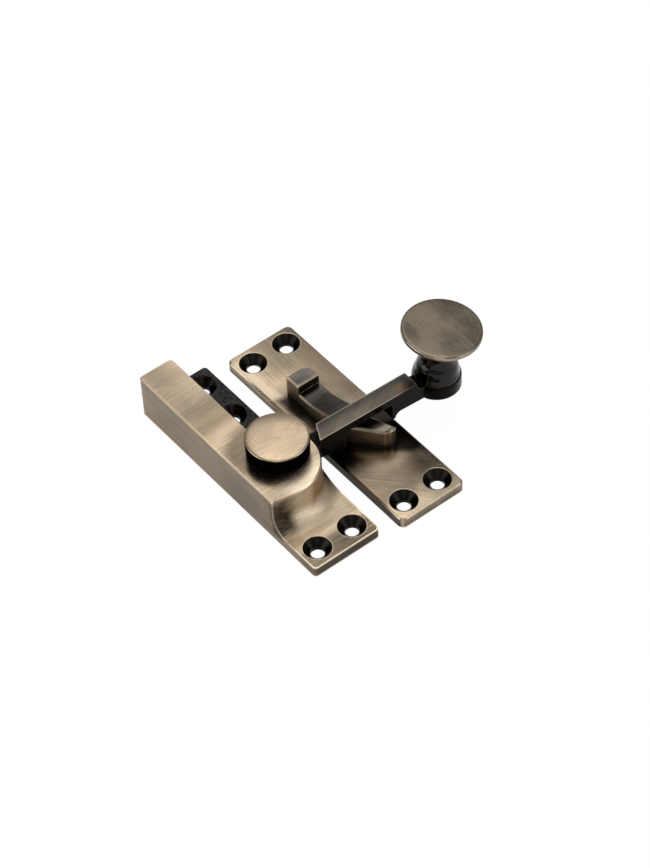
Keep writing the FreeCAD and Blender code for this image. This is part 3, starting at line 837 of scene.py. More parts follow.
    def blacked(self, gloss: float, edge: Any, bare: float = 0.0) -> Surface:
        """Lay blackened brass.

        Args:
            gloss: Its least roughness.
            edge: The mask of rubbed edges.
            bare: How thin the black is.

        Returns:
            The colour and the roughness.
        """
        made = self.use(self.effects.blacked, Cloud=self.cloud(self.PATINA_SPAN), Edge=edge,
                        Gloss=gloss, Bare=bare)
        return made["Color"], made["Roughness"]

    def over(self, share: Any, under: Surface, upper: Surface) -> Surface:
        """Lay one finish over another.

        Args:
            share: The mask of the upper one.
            under: The colour and roughness below.
            upper: The colour and roughness above.

        Returns:
            The joint colour and roughness.
        """
        return (self.w.blend(share, under[0], upper[0]),
                self.w.between(share, under[1], upper[1]))

    def stretch(self, amount: float, turn: Any) -> None:
        """Stretch the reflections across the strokes: level on top, upright on the sides.

        Args:
            amount: How much they stretch.
            turn: The direction of the strokes on top from +X, in radians.
        """
        w, up = self.w, self.upward()
        aside = w.between(up, self.SIDE_LEAN[0], w.times(w.math("SINE", turn), -1.0))
        ahead = w.between(up, self.SIDE_LEAN[1], w.math("COSINE", turn))
        placed = w.fed("ShaderNodeVectorTransform", {0: w.joined(aside, ahead, w.rest(up))},
                       vector_type="VECTOR", convert_from="OBJECT", convert_to="WORLD")
        self.shader.inputs["Anisotropic"].default_value = amount
        w.feed(self.shader.inputs["Tangent"], placed[0])

    def close(self, surface: Surface, height: Any,
              relief: Relief = CAST_RELIEF) -> bpy.types.Material:
        """Feed the shader and finish the material.

        Args:
            surface: The colour and the roughness.
            height: The height of the surface.
            relief: How that height shows.

        Returns:
            The material.
        """
        raised = self.w.fed("ShaderNodeBump", {
            "Strength": relief.strength, "Distance": relief.depth * MM, "Height": height})
        self.w.feed(self.shader.inputs["Base Color"], surface[0])
        self.w.feed(self.shader.inputs["Roughness"], surface[1])
        self.w.feed(self.shader.inputs["Normal"], raised[0])
        self.shader.inputs["Metallic"].default_value = 1.0
        return self.material


@dataclass(frozen=True)
class BrushedFinish:
    """Aged brass brushed one way all over, for the turned faces."""

    name: str
    tones: BrassTones
    brushing: Brushing
    cloud_span: float = 12.0
    edge_reach: float = 0.5
    hollow_reach: float = 3.0
    stretch: float = 0.5
    relief: Relief = Relief(0.25, 0.012)

    def material(self, effects: Effects) -> bpy.types.Material:
        """Build the material.

        Args:
            effects: The shared node groups.

        Returns:
            The material.
        """
        paint = Paint(self.name, effects)
        surface, strokes = paint.brass(self.tones, self.brushing, self.cloud_span,
                                       paint.hollow(self.hollow_reach),
                                       paint.edge(self.edge_reach))
        paint.stretch(self.stretch, math.radians(self.brushing.turn))
        return paint.close(surface, strokes, self.relief)


@dataclass(frozen=True)
class BlackFinish:
    """Blackened brass with the gloss of lacquer, for stems and walls."""

    name: str
    gloss: float
    coat: float
    glint: Triple = WHITE
    coat_roughness: float = 0.09
    edge_reach: float = 0.4
    worn_span: float = 3.0
    relief: Relief = Relief(0.02, 0.01)

    def material(self, effects: Effects) -> bpy.types.Material:
        """Build the material.

        Args:
            effects: The shared node groups.

        Returns:
            The material.
        """
        paint = Paint(self.name, effects)
        paint.shader.inputs["Specular Tint"].default_value = (*self.glint, 1.0)
        paint.shader.inputs["Coat Weight"].default_value = self.coat
        paint.shader.inputs["Coat Roughness"].default_value = self.coat_roughness
        surface = paint.blacked(self.gloss, paint.edge(self.edge_reach))
        return paint.close(surface, paint.cloud(self.worn_span), self.relief)


@dataclass(frozen=True)
class SteelFinish:
    """Zinc grey steel, for the two washers."""

    name: str
    light: Triple = (0.42, 0.42, 0.41)
    shade: Triple = (0.20, 0.20, 0.20)
    rubbed: Triple = (0.62, 0.62, 0.60)
    roughness: tuple[float, float] = (0.42, 0.32)
    cloud_span: float = 4.0
    edge_reach: float = 0.3
    grit: float = 0.5
    relief: Relief = Relief(0.1, 0.02)

    def material(self, effects: Effects) -> bpy.types.Material:
        """Build the material.

        Args:
            effects: The shared node groups.

        Returns:
            The material.
        """
        paint = Paint(self.name, effects)
        cloud = paint.cloud(self.cloud_span)
        plain = paint.w.blend(cloud, self.shade, self.light)
        colour = paint.w.blend(paint.edge(self.edge_reach), plain, self.rubbed)
        surface = (colour, paint.w.between(cloud, *self.roughness))
        return paint.close(surface, paint.pebbles(self.grit), self.relief)


@dataclass(frozen=True)
class Bend:
    """A point of a turned profile: its place from the axis and along it, and its corner."""

    radius: float
    height: float
    soften: float = 0.0
    bulge: float = 0.0
    skin: Skin = Skin.BRUSHED
    flow: bool = False

    def point(self) -> Vector:
        """Return the bend's place in the profile."""
        return Vector((self.radius, self.height))


Traced = tuple[Vector, float, Skin]
# A bend of a black band, and one that the black profile flows through.
black = partial(Bend, skin=Skin.BLACK)
flowing = partial(black, flow=True)


class Turned:
    """A piece turned about its own upright axis from a profile of bends."""

    SIDES = 144
    ARC_STEPS = 10
    SOFT_STEPS = 4
    ON_AXIS = 1e-6

    def __init__(self, *bends: Bend) -> None:
        """Hold the profile, which runs from the axis below to the axis above.

        Args:
            *bends: Its points; an open profile starts and ends on the axis, and a closed one
                goes round a bore.
        """
        self.bends = bends
        self.closed = bends[0].radius > 0

    def _traced(self) -> list[Traced]:
        """Trace the profile with its bulging and flowing runs.

        Returns:
            Its points, each with its softening and the skin of the run that leaves it.
        """
        traced = []
        for place, bend in enumerate(self.bends):
            after = self.bends[(place + 1) % len(self.bends)]
            traced.append((bend.point(), bend.soften, bend.skin))
            if bend.flow and after.flow:
                traced += self._flow(place)
            if bend.bulge:
                traced += self._bulge(bend, after)
        return traced

    def _bulge(self, bend: Bend, after: Bend) -> list[Traced]:
        """Trace the shallow arc from one bend to the next.

        Args:
            bend: Where the run starts.
            after: Where it ends.

        Returns:
            The points between them.
        """
        start, chord = bend.point(), after.point() - bend.point()
        side = Vector((chord.y, -chord.x))
        points = []
        for step in range(1, self.ARC_STEPS):
            share = step / self.ARC_STEPS
            lift = 4 * share * (1 - share) * bend.bulge / 2
            points.append((start + chord * share + side * lift, 0.0, bend.skin))
        return points

    def _flow(self, place: int) -> list[Traced]:
        """Trace the smooth curve to the next of the bends that the profile flows through.

        Args:
            place: Which bend the run starts at.

        Returns:
            The points between the two bends.
        """
        reach = self.bends[max(place - 1, 0):place + 3]
        ends = [bend.point() for bend in reach if bend.flow]
        start, end = self.bends[place].point(), self.bends[place + 1].point()
        leave, arrive = (end - ends[0]) / 2, (ends[-1] - start) / 2
        points = []
        for step in range(1, self.ARC_STEPS):
            share = step / self.ARC_STEPS
            square, cube = share ** 2, share ** 3
            point = (start * (2 * cube - 3 * square + 1) + leave * (cube - 2 * square + share)
                     + end * (3 * square - 2 * cube) + arrive * (cube - square))
            points.append((point, 0.0, self.bends[place].skin))
        return points

    def _softened(self) -> list[tuple[Vector, Skin]]:
        """Round off the corners that ask for it.

        Returns:
            The profile's points and the skin of the run that leaves each.
        """
        traced = self._traced()
        points = []
        for place, (corner, soften, skin) in enumerate(traced):
            if not soften:
                points.append((corner, skin))
                continue
            before, _, skin_before = traced[place - 1]
            after = traced[(place + 1) % len(traced)][0]
            start = corner + (before - corner).normalized() * soften
            end = corner + (after - corner).normalized() * soften
            for step in range(self.SOFT_STEPS + 1):
                share = step / self.SOFT_STEPS
                point = start.lerp(corner, share).lerp(corner.lerp(end, share), share)
                points.append((point, skin_before if step < self.SOFT_STEPS / 2 else skin))
        return points

    def _ring(self, built: bmesh.types.BMesh, point: Vector) -> list[bmesh.types.BMVert]:
        """Carry a point of the profile round the axis.

        Args:
            built: The mesh in the making.
            point: The point.

        Returns:
            The ring's corners, or a single one on the axis.
        """
        if point.x < self.ON_AXIS:
            return [built.verts.new((0.0, 0.0, point.y * MM))]
        turns = (2 * math.pi * side / self.SIDES for side in range(self.SIDES))
        return [built.verts.new((point.x * MM * math.cos(turn), point.x * MM * math.sin(turn),
                                 point.y * MM)) for turn in turns]

    def mesh(self, name: str) -> bpy.types.Mesh:
        """Turn the profile into a mesh about the Z axis.

        Args:
            name: The mesh's name.

        Returns:
            The mesh, in metres.
        """
        built = bmesh.new()
        points = self._softened()
        rings = [self._ring(built, point) for point, _ in points]
        for place in range(len(rings) if self.closed else len(rings) - 1):
            lower, upper = rings[place], rings[(place + 1) % len(rings)]
            for side in range(self.SIDES):
                ahead = (side + 1) % self.SIDES
                if len(lower) == 1:
                    corners = [lower[0], upper[ahead], upper[side]]
                elif len(upper) == 1:
                    corners = [lower[side], lower[ahead], upper[0]]
                else:
                    corners = [lower[side], lower[ahead], upper[ahead], upper[side]]
                face = built.faces.new(corners)
                face.material_index = points[place][1].value
                face.smooth = True
        bmesh.ops.recalc_face_normals(built, faces=built.faces)
        mesh = bpy.data.meshes.new(name)
        built.to_mesh(mesh)
        built.free()
        return mesh

    def piece(self, node: str, place: Matrix, finishes: list[bpy.types.Material],
              body: Body, slot: Slot) -> None:
        """Make the piece and let it stand for its solid.

        Args:
            node: The solid that it stands for.
            place: Where it sits in the frame.
            finishes: A material for each skin.
            body: The body that it moves with.
            slot: The record's finish; not used.
        """
        name = f"{node}_turned"
        made = stand(name, self.mesh(name))
        made.data.transform(place)
        for finish in finishes:
            made.data.materials.append(finish)
        shade_evenly(made)
        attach(made, body.value)
        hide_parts(node)
        log.info("%s: %d faces, for %s", name, len(made.data.polygons), node)


@dataclass(frozen=True)
class Pivot:
    """Where the arm turns, and how it rests across the keep and carries the leaning knob."""

    x: float = -23.3
    y: float = 1.5
    rest: float = 2.0
    arm_shift: float = 1.25
    knob_reach: float = 47.7
    seat: float = 10.7
    lean: float = 5.6
    lean_turn: float = 40.0

    def upright(self) -> Matrix:
        """Return the place of a piece turned about the pivot."""
        return Matrix.Translation((self.x * MM, self.y * MM, 0.0))

    def knob(self) -> Matrix:
        """Find the place of the knob's seat, with its lean.

        Returns:
            The place.
        """
        arm = self.upright() @ Matrix.Rotation(-math.radians(self.rest), 4, "Z")
        seat = Matrix.Translation((self.arm_shift * MM, self.knob_reach * MM, self.seat * MM))
        turn = math.radians(self.lean_turn)
        axis = Vector((-math.cos(turn), math.sin(turn), 0.0))
        return arm @ seat @ Matrix.Rotation(math.radians(self.lean), 4, axis)


@dataclass
class DressedSolid:
    """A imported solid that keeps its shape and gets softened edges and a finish."""

    node: str
    slot: Slot
    broken: float

    WELD = 0.0005
    FLAT_ANGLE = 0.6
    SHARP_ANGLE = 36.0

    def finish(self, effects: Effects) -> bpy.types.Material:
        """Build the solid's material, in each piece's own way."""
        raise NotImplementedError

    def soften(self, solid: bpy.types.Object) -> None:
        """Merge the solid's facets and break its sharp edges.

        Args:
            solid: The solid's object.
        """
        weld = solid.modifiers.new("join_facets", "WELD")
        weld.merge_threshold = self.WELD * MM
        flat = solid.modifiers.new("merge_flats", "DECIMATE")
        flat.decimate_type = "DISSOLVE"
        flat.angle_limit = math.radians(self.FLAT_ANGLE)
        broken = solid.modifiers.new("broken_edges", "BEVEL")
        broken.width = self.broken * MM
        broken.segments = 3
        broken.limit_method = "ANGLE"
        broken.angle_limit = math.radians(self.SHARP_ANGLE)
        broken.miter_outer = "MITER_ARC"
        shade_evenly(solid)

    def dress(self, solids: dict[str, bpy.types.Object], effects: Effects) -> None:
        """Give the solid its finish and its broken edges.

        Args:
            solids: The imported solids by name.
            effects: The shared node groups.
        """
        solid = solids[self.node]
        solid.data.materials.clear()
        solid.data.materials.append(self.finish(effects))
        for face in solid.data.polygons:
            face.material_index = 0
            face.use_smooth = True
        self.soften(solid)
        log.info("%s: dressed, with edges broken by %.2f mm", self.node, self.broken)


@dataclass
class ScrewedPlate(DressedSolid):
    """A casting whose plate has screw holes, black inside, and cast faces left rough."""

    sinks: Sinks
    stretch: float

    EDGE_REACH = 0.75
    HOLLOW_REACH = 5.0

    def close(self, paint: Paint, surface: Surface, relief: tuple[Any, Any, Any],
              turn: Any) -> bpy.types.Material:
        """Blacken the screw holes and finish the material.

        Args:
            paint: The material in the making.
            surface: The colour and the roughness.
            relief: The mask of rough faces, the height of the strokes and of the cast skin.
            turn: The direction of the strokes on top from +X, in radians.

        Returns:
            The material.
        """
        w = paint.w
        rough, strokes, pebbles = relief
        sunk = paint.sunk(self.sinks)
        surface = paint.over(sunk, surface, paint.blacked(HOLE_GLOSS, 0.0, HOLE_BARE))
        height = w.between(rough, w.times(strokes, STROKE_HEIGHT), pebbles)
        paint.stretch(self.stretch, turn)
        return paint.close(surface, w.between(sunk, height, HOLE_HEIGHT))


@dataclass
class BodyCasting(ScrewedPlate):
    """The body casting: brushed block, boss and flare, black screw holes and rough recess."""

    node: str = "body_casting"
    slot: Slot = Slot.BRASS
    broken: float = 0.16
    sinks: Sinks = Sinks(((0.0, -5.3), (0.0, 5.3), (-60.0, 5.3), (-47.4, 5.3)), 2)
    stretch: float = 0.55
    recess: Zone = Zone((-66, 0.35, -1), (-31, 11, 12.6), 0.3)
    boss_back: Zone = Zone((-32, 0.35, -1), (-24.5, 11, 12.5), 1.2)
    flare: Zone = Zone((-14, -11, 3.2), (-4, 11, 12.2), 1.2)
    blush: Zone = Zone((-17, 2.6, 7.4), (-8, 12, 11), 2.8)
    stains_and_shade: tuple[Patch, ...] = (
        # The outer end of the flare.
        Patch((-10.2, -11, 3.1), (-8.8, -6.6, 6.8), 3.0, 0.86),
        Patch((-11.2, -9.6, 7.0), (-9.8, -8.0, 10.6), 2.6, 0.72),
        # The front plate beyond the flare.
        Patch((0.4, -12, -1), (8, 12, 3.3), 3.0, 0.70),
    )
    top_dark_patches: tuple[Patch, ...] = (
        # The block along its outer edge and its middle.
        Patch((-68, -12, 12), (-44, -6.6, 14), 5.0, 0.22),
        Patch((-46, -12, 12), (-41, 2, 14), 5.0, 0.48),
    )
    # The middle of the flare, brightened as a painted highlight.
    rubbed: tuple[Patch, ...] = (Patch((-12.5, -2.4, 6), (-5.5, 5, 13), 4.5, 0.84),)
    # The block's top round the pivot's cap, where the cap's shade is painted.
    cap: Spot = (-25.6, -0.9)
    cap_reach: float = 7.4
    cap_margin: float = 4.6
    cap_shade: float = 0.64
    block_top: float = 12.4
    hollow_dark: tuple[float, float] = (0.26, 0.06)
    # How dark the painted shade is on the front-facing ends and on the upright sides.
    end_dark: float = 0.86
    side_dark: float = 0.36
    top_clouds: float = 15.0
    side_clouds: float = 18.0
    blush_share: float = 0.8
    flare_dull: float = 0.20
    grit: float = 0.42
    cast_rough: float = 0.42

    def _patina_and_shade(self, paint: Paint, on_flare: Any) -> bpy.types.NodeSocket:
        """Mask the patina of the casting, its dark patches, and painted shade on its
        front-facing ends.

        Args:
            paint: The material in the making.
            on_flare: The mask of the flare.

        Returns:
            The mask's socket.
        """
        w = paint.w
        kept = w.times(paint.hollow(self.HOLLOW_REACH), w.between(on_flare, *self.hollow_dark))
        # Painted shade on the faces that look to the front, below the plate's top.
        ends = w.times(paint.frontward(self.end_dark),
                       paint.fade(Axis.Z, self.sinks.top, self.sinks.top + 1, 1.0, 0.0))
        return w.most(kept, paint.streaked(paint.patches(self.stains_and_shade)), ends)

    def _cap_shade(self, paint: Paint) -> bpy.types.NodeSocket:
        """Mask the painted shade of the pivot's cap on the block round it, run out in streaks.

        Args:
            paint: The material in the making.

        Returns:
            The mask's socket.
        """
        near = paint.w.times(paint.discs((self.cap,), self.cap_reach, self.cap_margin),
                             paint.fade(Axis.Z, self.block_top - 0.4, self.block_top))
        return paint.w.times(paint.streaked(near), self.cap_shade)

    def finish(self, effects: Effects) -> bpy.types.Material:
        """Build the casting's material.

        Args:
            effects: The shared node groups.

        Returns:
            The material.
        """
        paint = Paint("casting_brass", effects)
        w = paint.w
        on_flare = paint.zone(self.flare)
        dark = self._patina_and_shade(paint, on_flare)
        # Rubbed edges and rims, with a painted highlight over the middle of the flare.
        edge = w.most(paint.edge(self.EDGE_REACH), paint.streaked(paint.patches(self.rubbed)),
                      paint.rims(self.sinks))
        # The top takes its dark patches and the painted shade of the pivot's cap.
        dark_top = w.most(dark, paint.patches(self.top_dark_patches), self._cap_shade(paint))
        # The upright sides are darker throughout, as painted shade.
        dark_side = w.most(dark, self.side_dark)
        top, top_strokes = paint.brass(WARM_BRASS, ACROSS, self.top_clouds, dark_top, edge)
        side, side_strokes = paint.brass(WARM_BRASS, ALONG, self.side_clouds, dark_side, edge)
        crosswise = w.most(paint.upward(), w.ramp(paint.facing[Axis.X], 0.3, 0.6))
        colour, rough = paint.over(crosswise, side, top)
        # The flare is duller than the brushed faces, and redder on its inner side.
        warm = w.times(paint.zone(self.blush), on_flare, self.blush_share)
        brushed = (w.blend(warm, colour, FLARE_BLUSH),
                   w.math("ADD", rough, w.times(on_flare, self.flare_dull)))
        pebbles = paint.pebbles(self.grit)
        cast = w.most(paint.zone(self.recess), paint.zone(self.boss_back), paint.downward())
        skin = (paint.use(effects.pits, Height=pebbles)["Color"], self.cast_rough)
        strokes = w.between(crosswise, side_strokes, top_strokes)
        return self.close(paint, paint.over(cast, brushed, skin), (cast, strokes, pebbles),
                          math.radians(ACROSS.turn))


@dataclass
class KeepPlate(ScrewedPlate):
    """The keep: plate brushed along its length, dark round the rib, rubbed along its rims."""

    node: str = "keep_plate"
    slot: Slot = Slot.BRASS
    broken: float = 0.16
    sinks: Sinks = Sinks(((-58.1, 20.0), (-58.1, 30.6), (1.9, 20.0), (1.9, 30.6)), 4)
    stretch: float = 0.45
    # How far the band of the arm's painted reflection leans over the plate, and how the strokes
    # turn at the front.
    band_lean: float = 0.738
    front_turn: float = 42.0
    # How dark the painted shade on the front-facing ends is.
    end_dark: float = 0.55
    plate_clouds: float = 11.0
    rib_clouds: float = 8.0
    ridge: Brushing = Brushing(90, 6)
    ridge_dark: float = 0.6
    satin: tuple[float, float] = (0.18, 0.04)
    under_gloss: float = 0.42
    grit: float = 0.75
    rib: Zone = Zone((-44.6, 19.4, 3.5), (-13, 33, 12), 0.4)
    stains_and_shade: tuple[Patch, ...] = (
        # Round the foot of the rib, on its inner side and along its outer side; the second one,
        # beside the arm, is a painted reflection of the arm.
        Patch((-42.5, 17.8, -1), (-20, 21, 3.3), 3.0, 0.98),
        Patch((-29, 14, -1), (-16.5, 19, 3.3), 4.5, 0.96),
        Patch((-43, 26, -1), (-29, 29, 3.3), 3.0, 0.6),
        # Under the arm: the painted shade of the arm over the plate.
        Patch((-29.5, 28, -1), (-18, 38, 3.3), 3.5, 1.0),
        # The rear round the upper hole, and the front between the holes and at its corner.
        Patch((-66, 27, -1), (-57, 38, 3.3), 5.0, 0.40),
        Patch((-12, 15, -1), (-1, 31, 3.3), 4.0, 0.52),
        Patch((-3, 28, 2.6), (8, 38, 3.3), 4.0, 0.42),
        # The side that faces the body, from under the arm to the front, and to the rear.
        Patch((-27, 14, -1), (8, 15.36, 2.45), 0.3, 1.0),
        Patch((-66, 14, -1), (-27, 15.36, 1.6), 1.0, 0.6),
    )
    rubbed: tuple[Patch, ...] = (
        # The plate's front edge, its inner edge at the rear, its outer edge, the rib's tip.
        Patch((4.4, 14, 2.6), (8, 38, 3.3), 2.4, 0.15),
        Patch((-60, 14, 2.6), (-46, 17, 3.3), 2.4, 0.42),
        Patch((-8, 33.6, 2.6), (8, 38, 3.3), 2.0, 0.22),
        Patch((-21, 26, 7.6), (-15, 34, 9.6), 1.0, 0.25),
    )

    def _shaded(self, paint: Paint) -> bpy.types.NodeSocket:
        """Mask the painted reflection of the arm, aslant from the arm to the rib's tip, and the
        plate's darkening towards its far edge.

        Args:
            paint: The material in the making.

        Returns:
            The mask's socket.
        """
        w = paint.w
        # The band is the painted reflection of the arm; far darkens the plate towards its far
        # edge.
        band = w.times(paint.aslant(self.band_lean, -34.0, -29.2, 0.98),
                       paint.fade(Axis.X, -33, -23))
        far = w.times(paint.fade(Axis.Y, 17, 36, 0.0, 0.72),
                      paint.fade(Axis.X, -22, -14, 1.0, 0.0))
        return w.most(band, far)

    def _side_dark(self, paint: Paint, on_rib: Any, hollow: Any,
                   stains_and_shade_mask: Any) -> bpy.types.NodeSocket:
        """Mask the dark on the sides of the plate and the rib: patina in corners, darker low
        down and on the stop's front, painted shade on the front ends.

        Args:
            paint: The material in the making.
            on_rib: The mask of the rib.
            hollow: The mask of inner corners.
            stains_and_shade_mask: The mask of the plate's dark patches and painted shade.

        Returns:
            The mask's socket.
        """
        w = paint.w
        low = w.times(paint.fade(Axis.Z, self.sinks.top, 4.6, 0.92, 0.0),
                      paint.fade(Axis.Z, 2.9, 3.0))
        behind = w.times(on_rib, w.ramp(paint.facing[Axis.X], 0.75, 0.95, 0.0, 0.96),
                         paint.fade(Axis.X, -36, -34, 1.0, 0.0))
        kept = w.times(hollow, w.between(on_rib, 1.0, 0.3))
        below = w.times(stains_and_shade_mask, paint.fade(Axis.Z, 3.1, 3.7, 1.0, 0.15))
        # Painted shade on the faces that look to the front.
        ends = w.times(paint.frontward(self.end_dark), paint.fade(Axis.Z, 2.7, 3.2, 1.0, 0.0))
        return w.most(low, behind, kept, below, ends)

    def finish(self, effects: Effects) -> bpy.types.Material:
        """Build the keep's material.

        Args:
            effects: The shared node groups.

        Returns:
            The material.
        """
        paint = Paint("keep_brass", effects)
        w = paint.w
        hollow = paint.hollow(self.HOLLOW_REACH)
        stains_and_shade_mask = paint.patches(self.stains_and_shade)
        on_rib = paint.zone(self.rib)
        edge = w.most(paint.edge(self.EDGE_REACH), paint.rims(self.sinks),
                      paint.patches(self.rubbed))
        turn = paint.fade(Axis.X, -26, -8, 0.0, math.radians(self.front_turn))
        # Patina in the hollows, with the painted reflection and shade of the arm and the other
        # dark patches.
        dark = w.most(hollow, self._shaded(paint), stains_and_shade_mask)
        dark_side = self._side_dark(paint, on_rib, hollow, stains_and_shade_mask)
        dark_ridge = w.times(hollow, self.ridge_dark)
        plate, strokes = paint.brass(WARM_BRASS, ALONG, self.plate_clouds, dark, edge, turn)
        side, _ = paint.brass(WARM_BRASS, ALONG, self.rib_clouds, dark_side, edge)
        ridge, _ = paint.brass(SLATE_BRASS, self.ridge, self.rib_clouds, dark_ridge, edge)
        up = paint.upward()
        colour, rough = paint.over(w.times(on_rib, up), paint.over(up, side, plate), ridge)
        # The rib's sides are duller than the brushed faces, and less so at its tip.
        satin = w.times(on_rib, w.rest(up), paint.fade(Axis.X, -29, -23, *self.satin))
        under = paint.downward()
        surface = paint.over(under, (colour, w.math("ADD", rough, satin)),
                             paint.blacked(self.under_gloss, edge))
        return self.close(paint, surface, (under, strokes, paint.pebbles(self.grit)), turn)


@dataclass
class SwingArm(DressedSolid):
    """The arm: grey-brown brushed top, black sides, tongue and end boss."""

    node: str = "swing_arm"
    slot: Slot = Slot.BLACKED
    broken: float = 0.14
    top_height: float = 13.1
    edge_reach: float = 0.6
    edge_share: float = 0.40
    gloss: float = 0.2
    brushing: Brushing = Brushing(122, 6, 0.14)
    clouds: float = 9.0
    blush: Zone = Zone((-19.6, 37, 11), (-18.6, 37.4, 14), 2.4)
    blush_share: float = 0.6
    # How far the dark along the top's rear edge leans.
    edge_lean: float = 0.035
    # The end of the top, below the knob: the painted shade of the knob above it.
    stains_and_shade: tuple[Patch, ...] = (Patch((-24, 39.6, 11), (-17, 42, 14), 3.2, 0.85),)

    def finish(self, effects: Effects) -> bpy.types.Material:
        """Build the arm's material.

        Args:
            effects: The shared node groups.

        Returns:
            The material.
        """
        paint = Paint("arm_brass", effects)
        w = paint.w
        edge = w.times(paint.edge(self.edge_reach), self.edge_share)
        # The top darkens under the painted shade of the knob and along its rear edge.
        dark_top = w.most(paint.patches(self.stains_and_shade),
                          paint.aslant(self.edge_lean, -25.0, -20.6, 0.8))
        (colour, rough), strokes = paint.brass(DIM_BRASS, self.brushing, self.clouds,
                                               dark_top, edge)
        warm = w.times(paint.zone(self.blush), strokes, self.blush_share)
        high = paint.fade(Axis.Z, self.top_height - 0.45, self.top_height - 0.2)
        shown = w.times(high, paint.upward())
        surface = paint.over(shown, paint.blacked(self.gloss, edge),
                             (w.blend(warm, colour, ARM_BLUSH), rough))
        return paint.close(surface, w.times(strokes, shown, STROKE_HEIGHT))


@dataclass
class PivotPin:
    """The pivot pin: the broad cap that shows, its shank and its peened end."""

    pivot: Pivot = Pivot()
    profile: tuple[Bend, ...] = (
        black(0.0, 4.0), black(2.5, 4.02, 0.2, 0.12), black(3.7, 4.7, 0.15),
        black(3.7, 5.1, 0.05), black(2.5, 5.1), black(2.5, 13.1), black(7.8, 13.1, 0.15),
        Bend(8.1, 18.0, 0.62, 0.08), Bend(0.0, 18.4),
    )
    cap: BrushedFinish = BrushedFinish("cap_brass", PALE_BRASS, Brushing(84))
    wall: BlackFinish = BlackFinish("cap_wall_black", 0.3, 0.0, (0.1, 0.09, 0.08))

    def build(self, effects: Effects) -> None:
        """Turn the pin and dress it.

        Args:
            effects: The shared node groups.
        """
        finishes = [self.cap.material(effects), self.wall.material(effects)]
        Turned(*self.profile).piece("pivot_pin", self.pivot.upright(), finishes,
                                    Body.FASTENER, Slot.BRASS)


@dataclass
class Washers:
    """The dished spring washer and the flat washer under the arm's eye."""

    pivot: Pivot = Pivot()
    spring: tuple[Bend, ...] = (
        Bend(2.55, 5.9, 0.1), Bend(5.8, 6.4, 0.08), Bend(5.8, 6.9, 0.08), Bend(2.55, 6.4, 0.1))
    flat: tuple[Bend, ...] = (
        Bend(2.55, 5.1, 0.12), Bend(5.2, 5.1, 0.12), Bend(5.2, 5.9, 0.12),
        Bend(2.55, 5.9, 0.12))
    steel: SteelFinish = SteelFinish("washer_steel")

    def build(self, effects: Effects) -> None:
        """Turn both washers and dress them.

        Args:
            effects: The shared node groups.
        """
        finishes = [self.steel.material(effects)]
        for node, profile in (("spring_washer", self.spring), ("pin_washer", self.flat)):
            Turned(*profile).piece(node, self.pivot.upright(), finishes, Body.FASTENER,
                                   Slot.STEEL)


@dataclass
class Knob:
    """The turned knob: spigot, domed stem, waist, cove and the broad flat disc."""

    pivot: Pivot = Pivot()
    profile: tuple[Bend, ...] = (
        black(0.0, -4.1), black(2.4, -4.1, 0.1), black(2.4, 0.0), black(5.95, 0.0, 0.2),
        black(5.95, 0.5, 0.3), flowing(5.6, 1.5), flowing(5.15, 3.3), flowing(4.4, 5.0),
        flowing(3.9, 6.9), flowing(3.8, 8.8), flowing(4.3, 11.0), flowing(5.8, 12.8),
        flowing(8.7, 13.9), black(9.8, 13.9, 0.3), Bend(10.2, 14.2, 0.14),
        Bend(10.2, 15.4, 0.66, 0.02), Bend(0.0, 15.4),
    )
    # The disc's wide rubbed rim is wear and also a painted highlight round its edge.
    disc: BrushedFinish = BrushedFinish("knob_brass", GREY_BRASS, Brushing(4), edge_reach=1.3)
    stem: BlackFinish = BlackFinish("knob_stem_black", 0.2, 0.6)

    def build(self, effects: Effects) -> None:
        """Turn the knob and dress it.

        Args:
            effects: The shared node groups.
        """
        finishes = [self.disc.material(effects), self.stem.material(effects)]
        Turned(*self.profile).piece("knob", self.pivot.knob(), finishes, Body.ARM,
                                    Slot.BLACKED)


@dataclass(frozen=True)
class Softbox:
    """A flat lamp aimed at the part; its distance and its sides are in metres."""

    name: str
    azimuth: float
    elevation: float
    distance: float
    width: float
    height: float
    power: float

    def hang(self, aim: Vector) -> None:
        """Hang the lamp.

        Args:
            aim: The place that it shines on.
        """
        data = bpy.data.lights.new(self.name, "AREA")
        data.shape = "RECTANGLE"
        data.size = self.width
        data.size_y = self.height
        data.energy = self.power
        hung = stand(self.name, data)
        away = outward(self.azimuth, self.elevation)
        hung.location = aim + away * self.distance
        hung.rotation_mode = "QUATERNION"
        hung.rotation_quaternion = (-away).to_track_quat("-Z", "Y")


@dataclass(frozen=True)
class Viewpoint:
    """Where the photograph was taken from, solved from the plates' corners and holes."""

    azimuth: float = 53.838
    elevation: float = 48.177
    roll: float = -3.2
    aim: Triple = (-30.0, 12.0, 0.0)
    rightward: float = 6.877
    upward: float = 3.808
    distance: float = 741.955
    lens: float = 165.55
    sensor: float = 36.0
    clip: tuple[float, float] = (0.05, 30.0)

    def build(self) -> None:
        """Set the camera."""
        azimuth, roll = math.radians(self.azimuth), math.radians(self.roll)
        back = outward(self.azimuth, self.elevation)
        level = Vector((math.cos(azimuth), math.sin(azimuth), 0.0))
        upright = back.cross(level)
        right = level * math.cos(roll) + upright * math.sin(roll)
        up = upright * math.cos(roll) - level * math.sin(roll)
        place = (Vector(self.aim) + right * self.rightward + up * self.upward
                 + back * self.distance) * MM
        data = bpy.data.cameras.new("photograph_camera")
        data.sensor_fit = "HORIZONTAL"
        data.sensor_width = self.sensor
        data.lens = self.lens
        data.clip_start, data.clip_end = self.clip
        camera = stand("photograph_camera", data)
        turned = Matrix((right, up, back)).transposed().to_4x4()
        camera.matrix_world = Matrix.Translation(place) @ turned
        bpy.context.scene.camera = camera


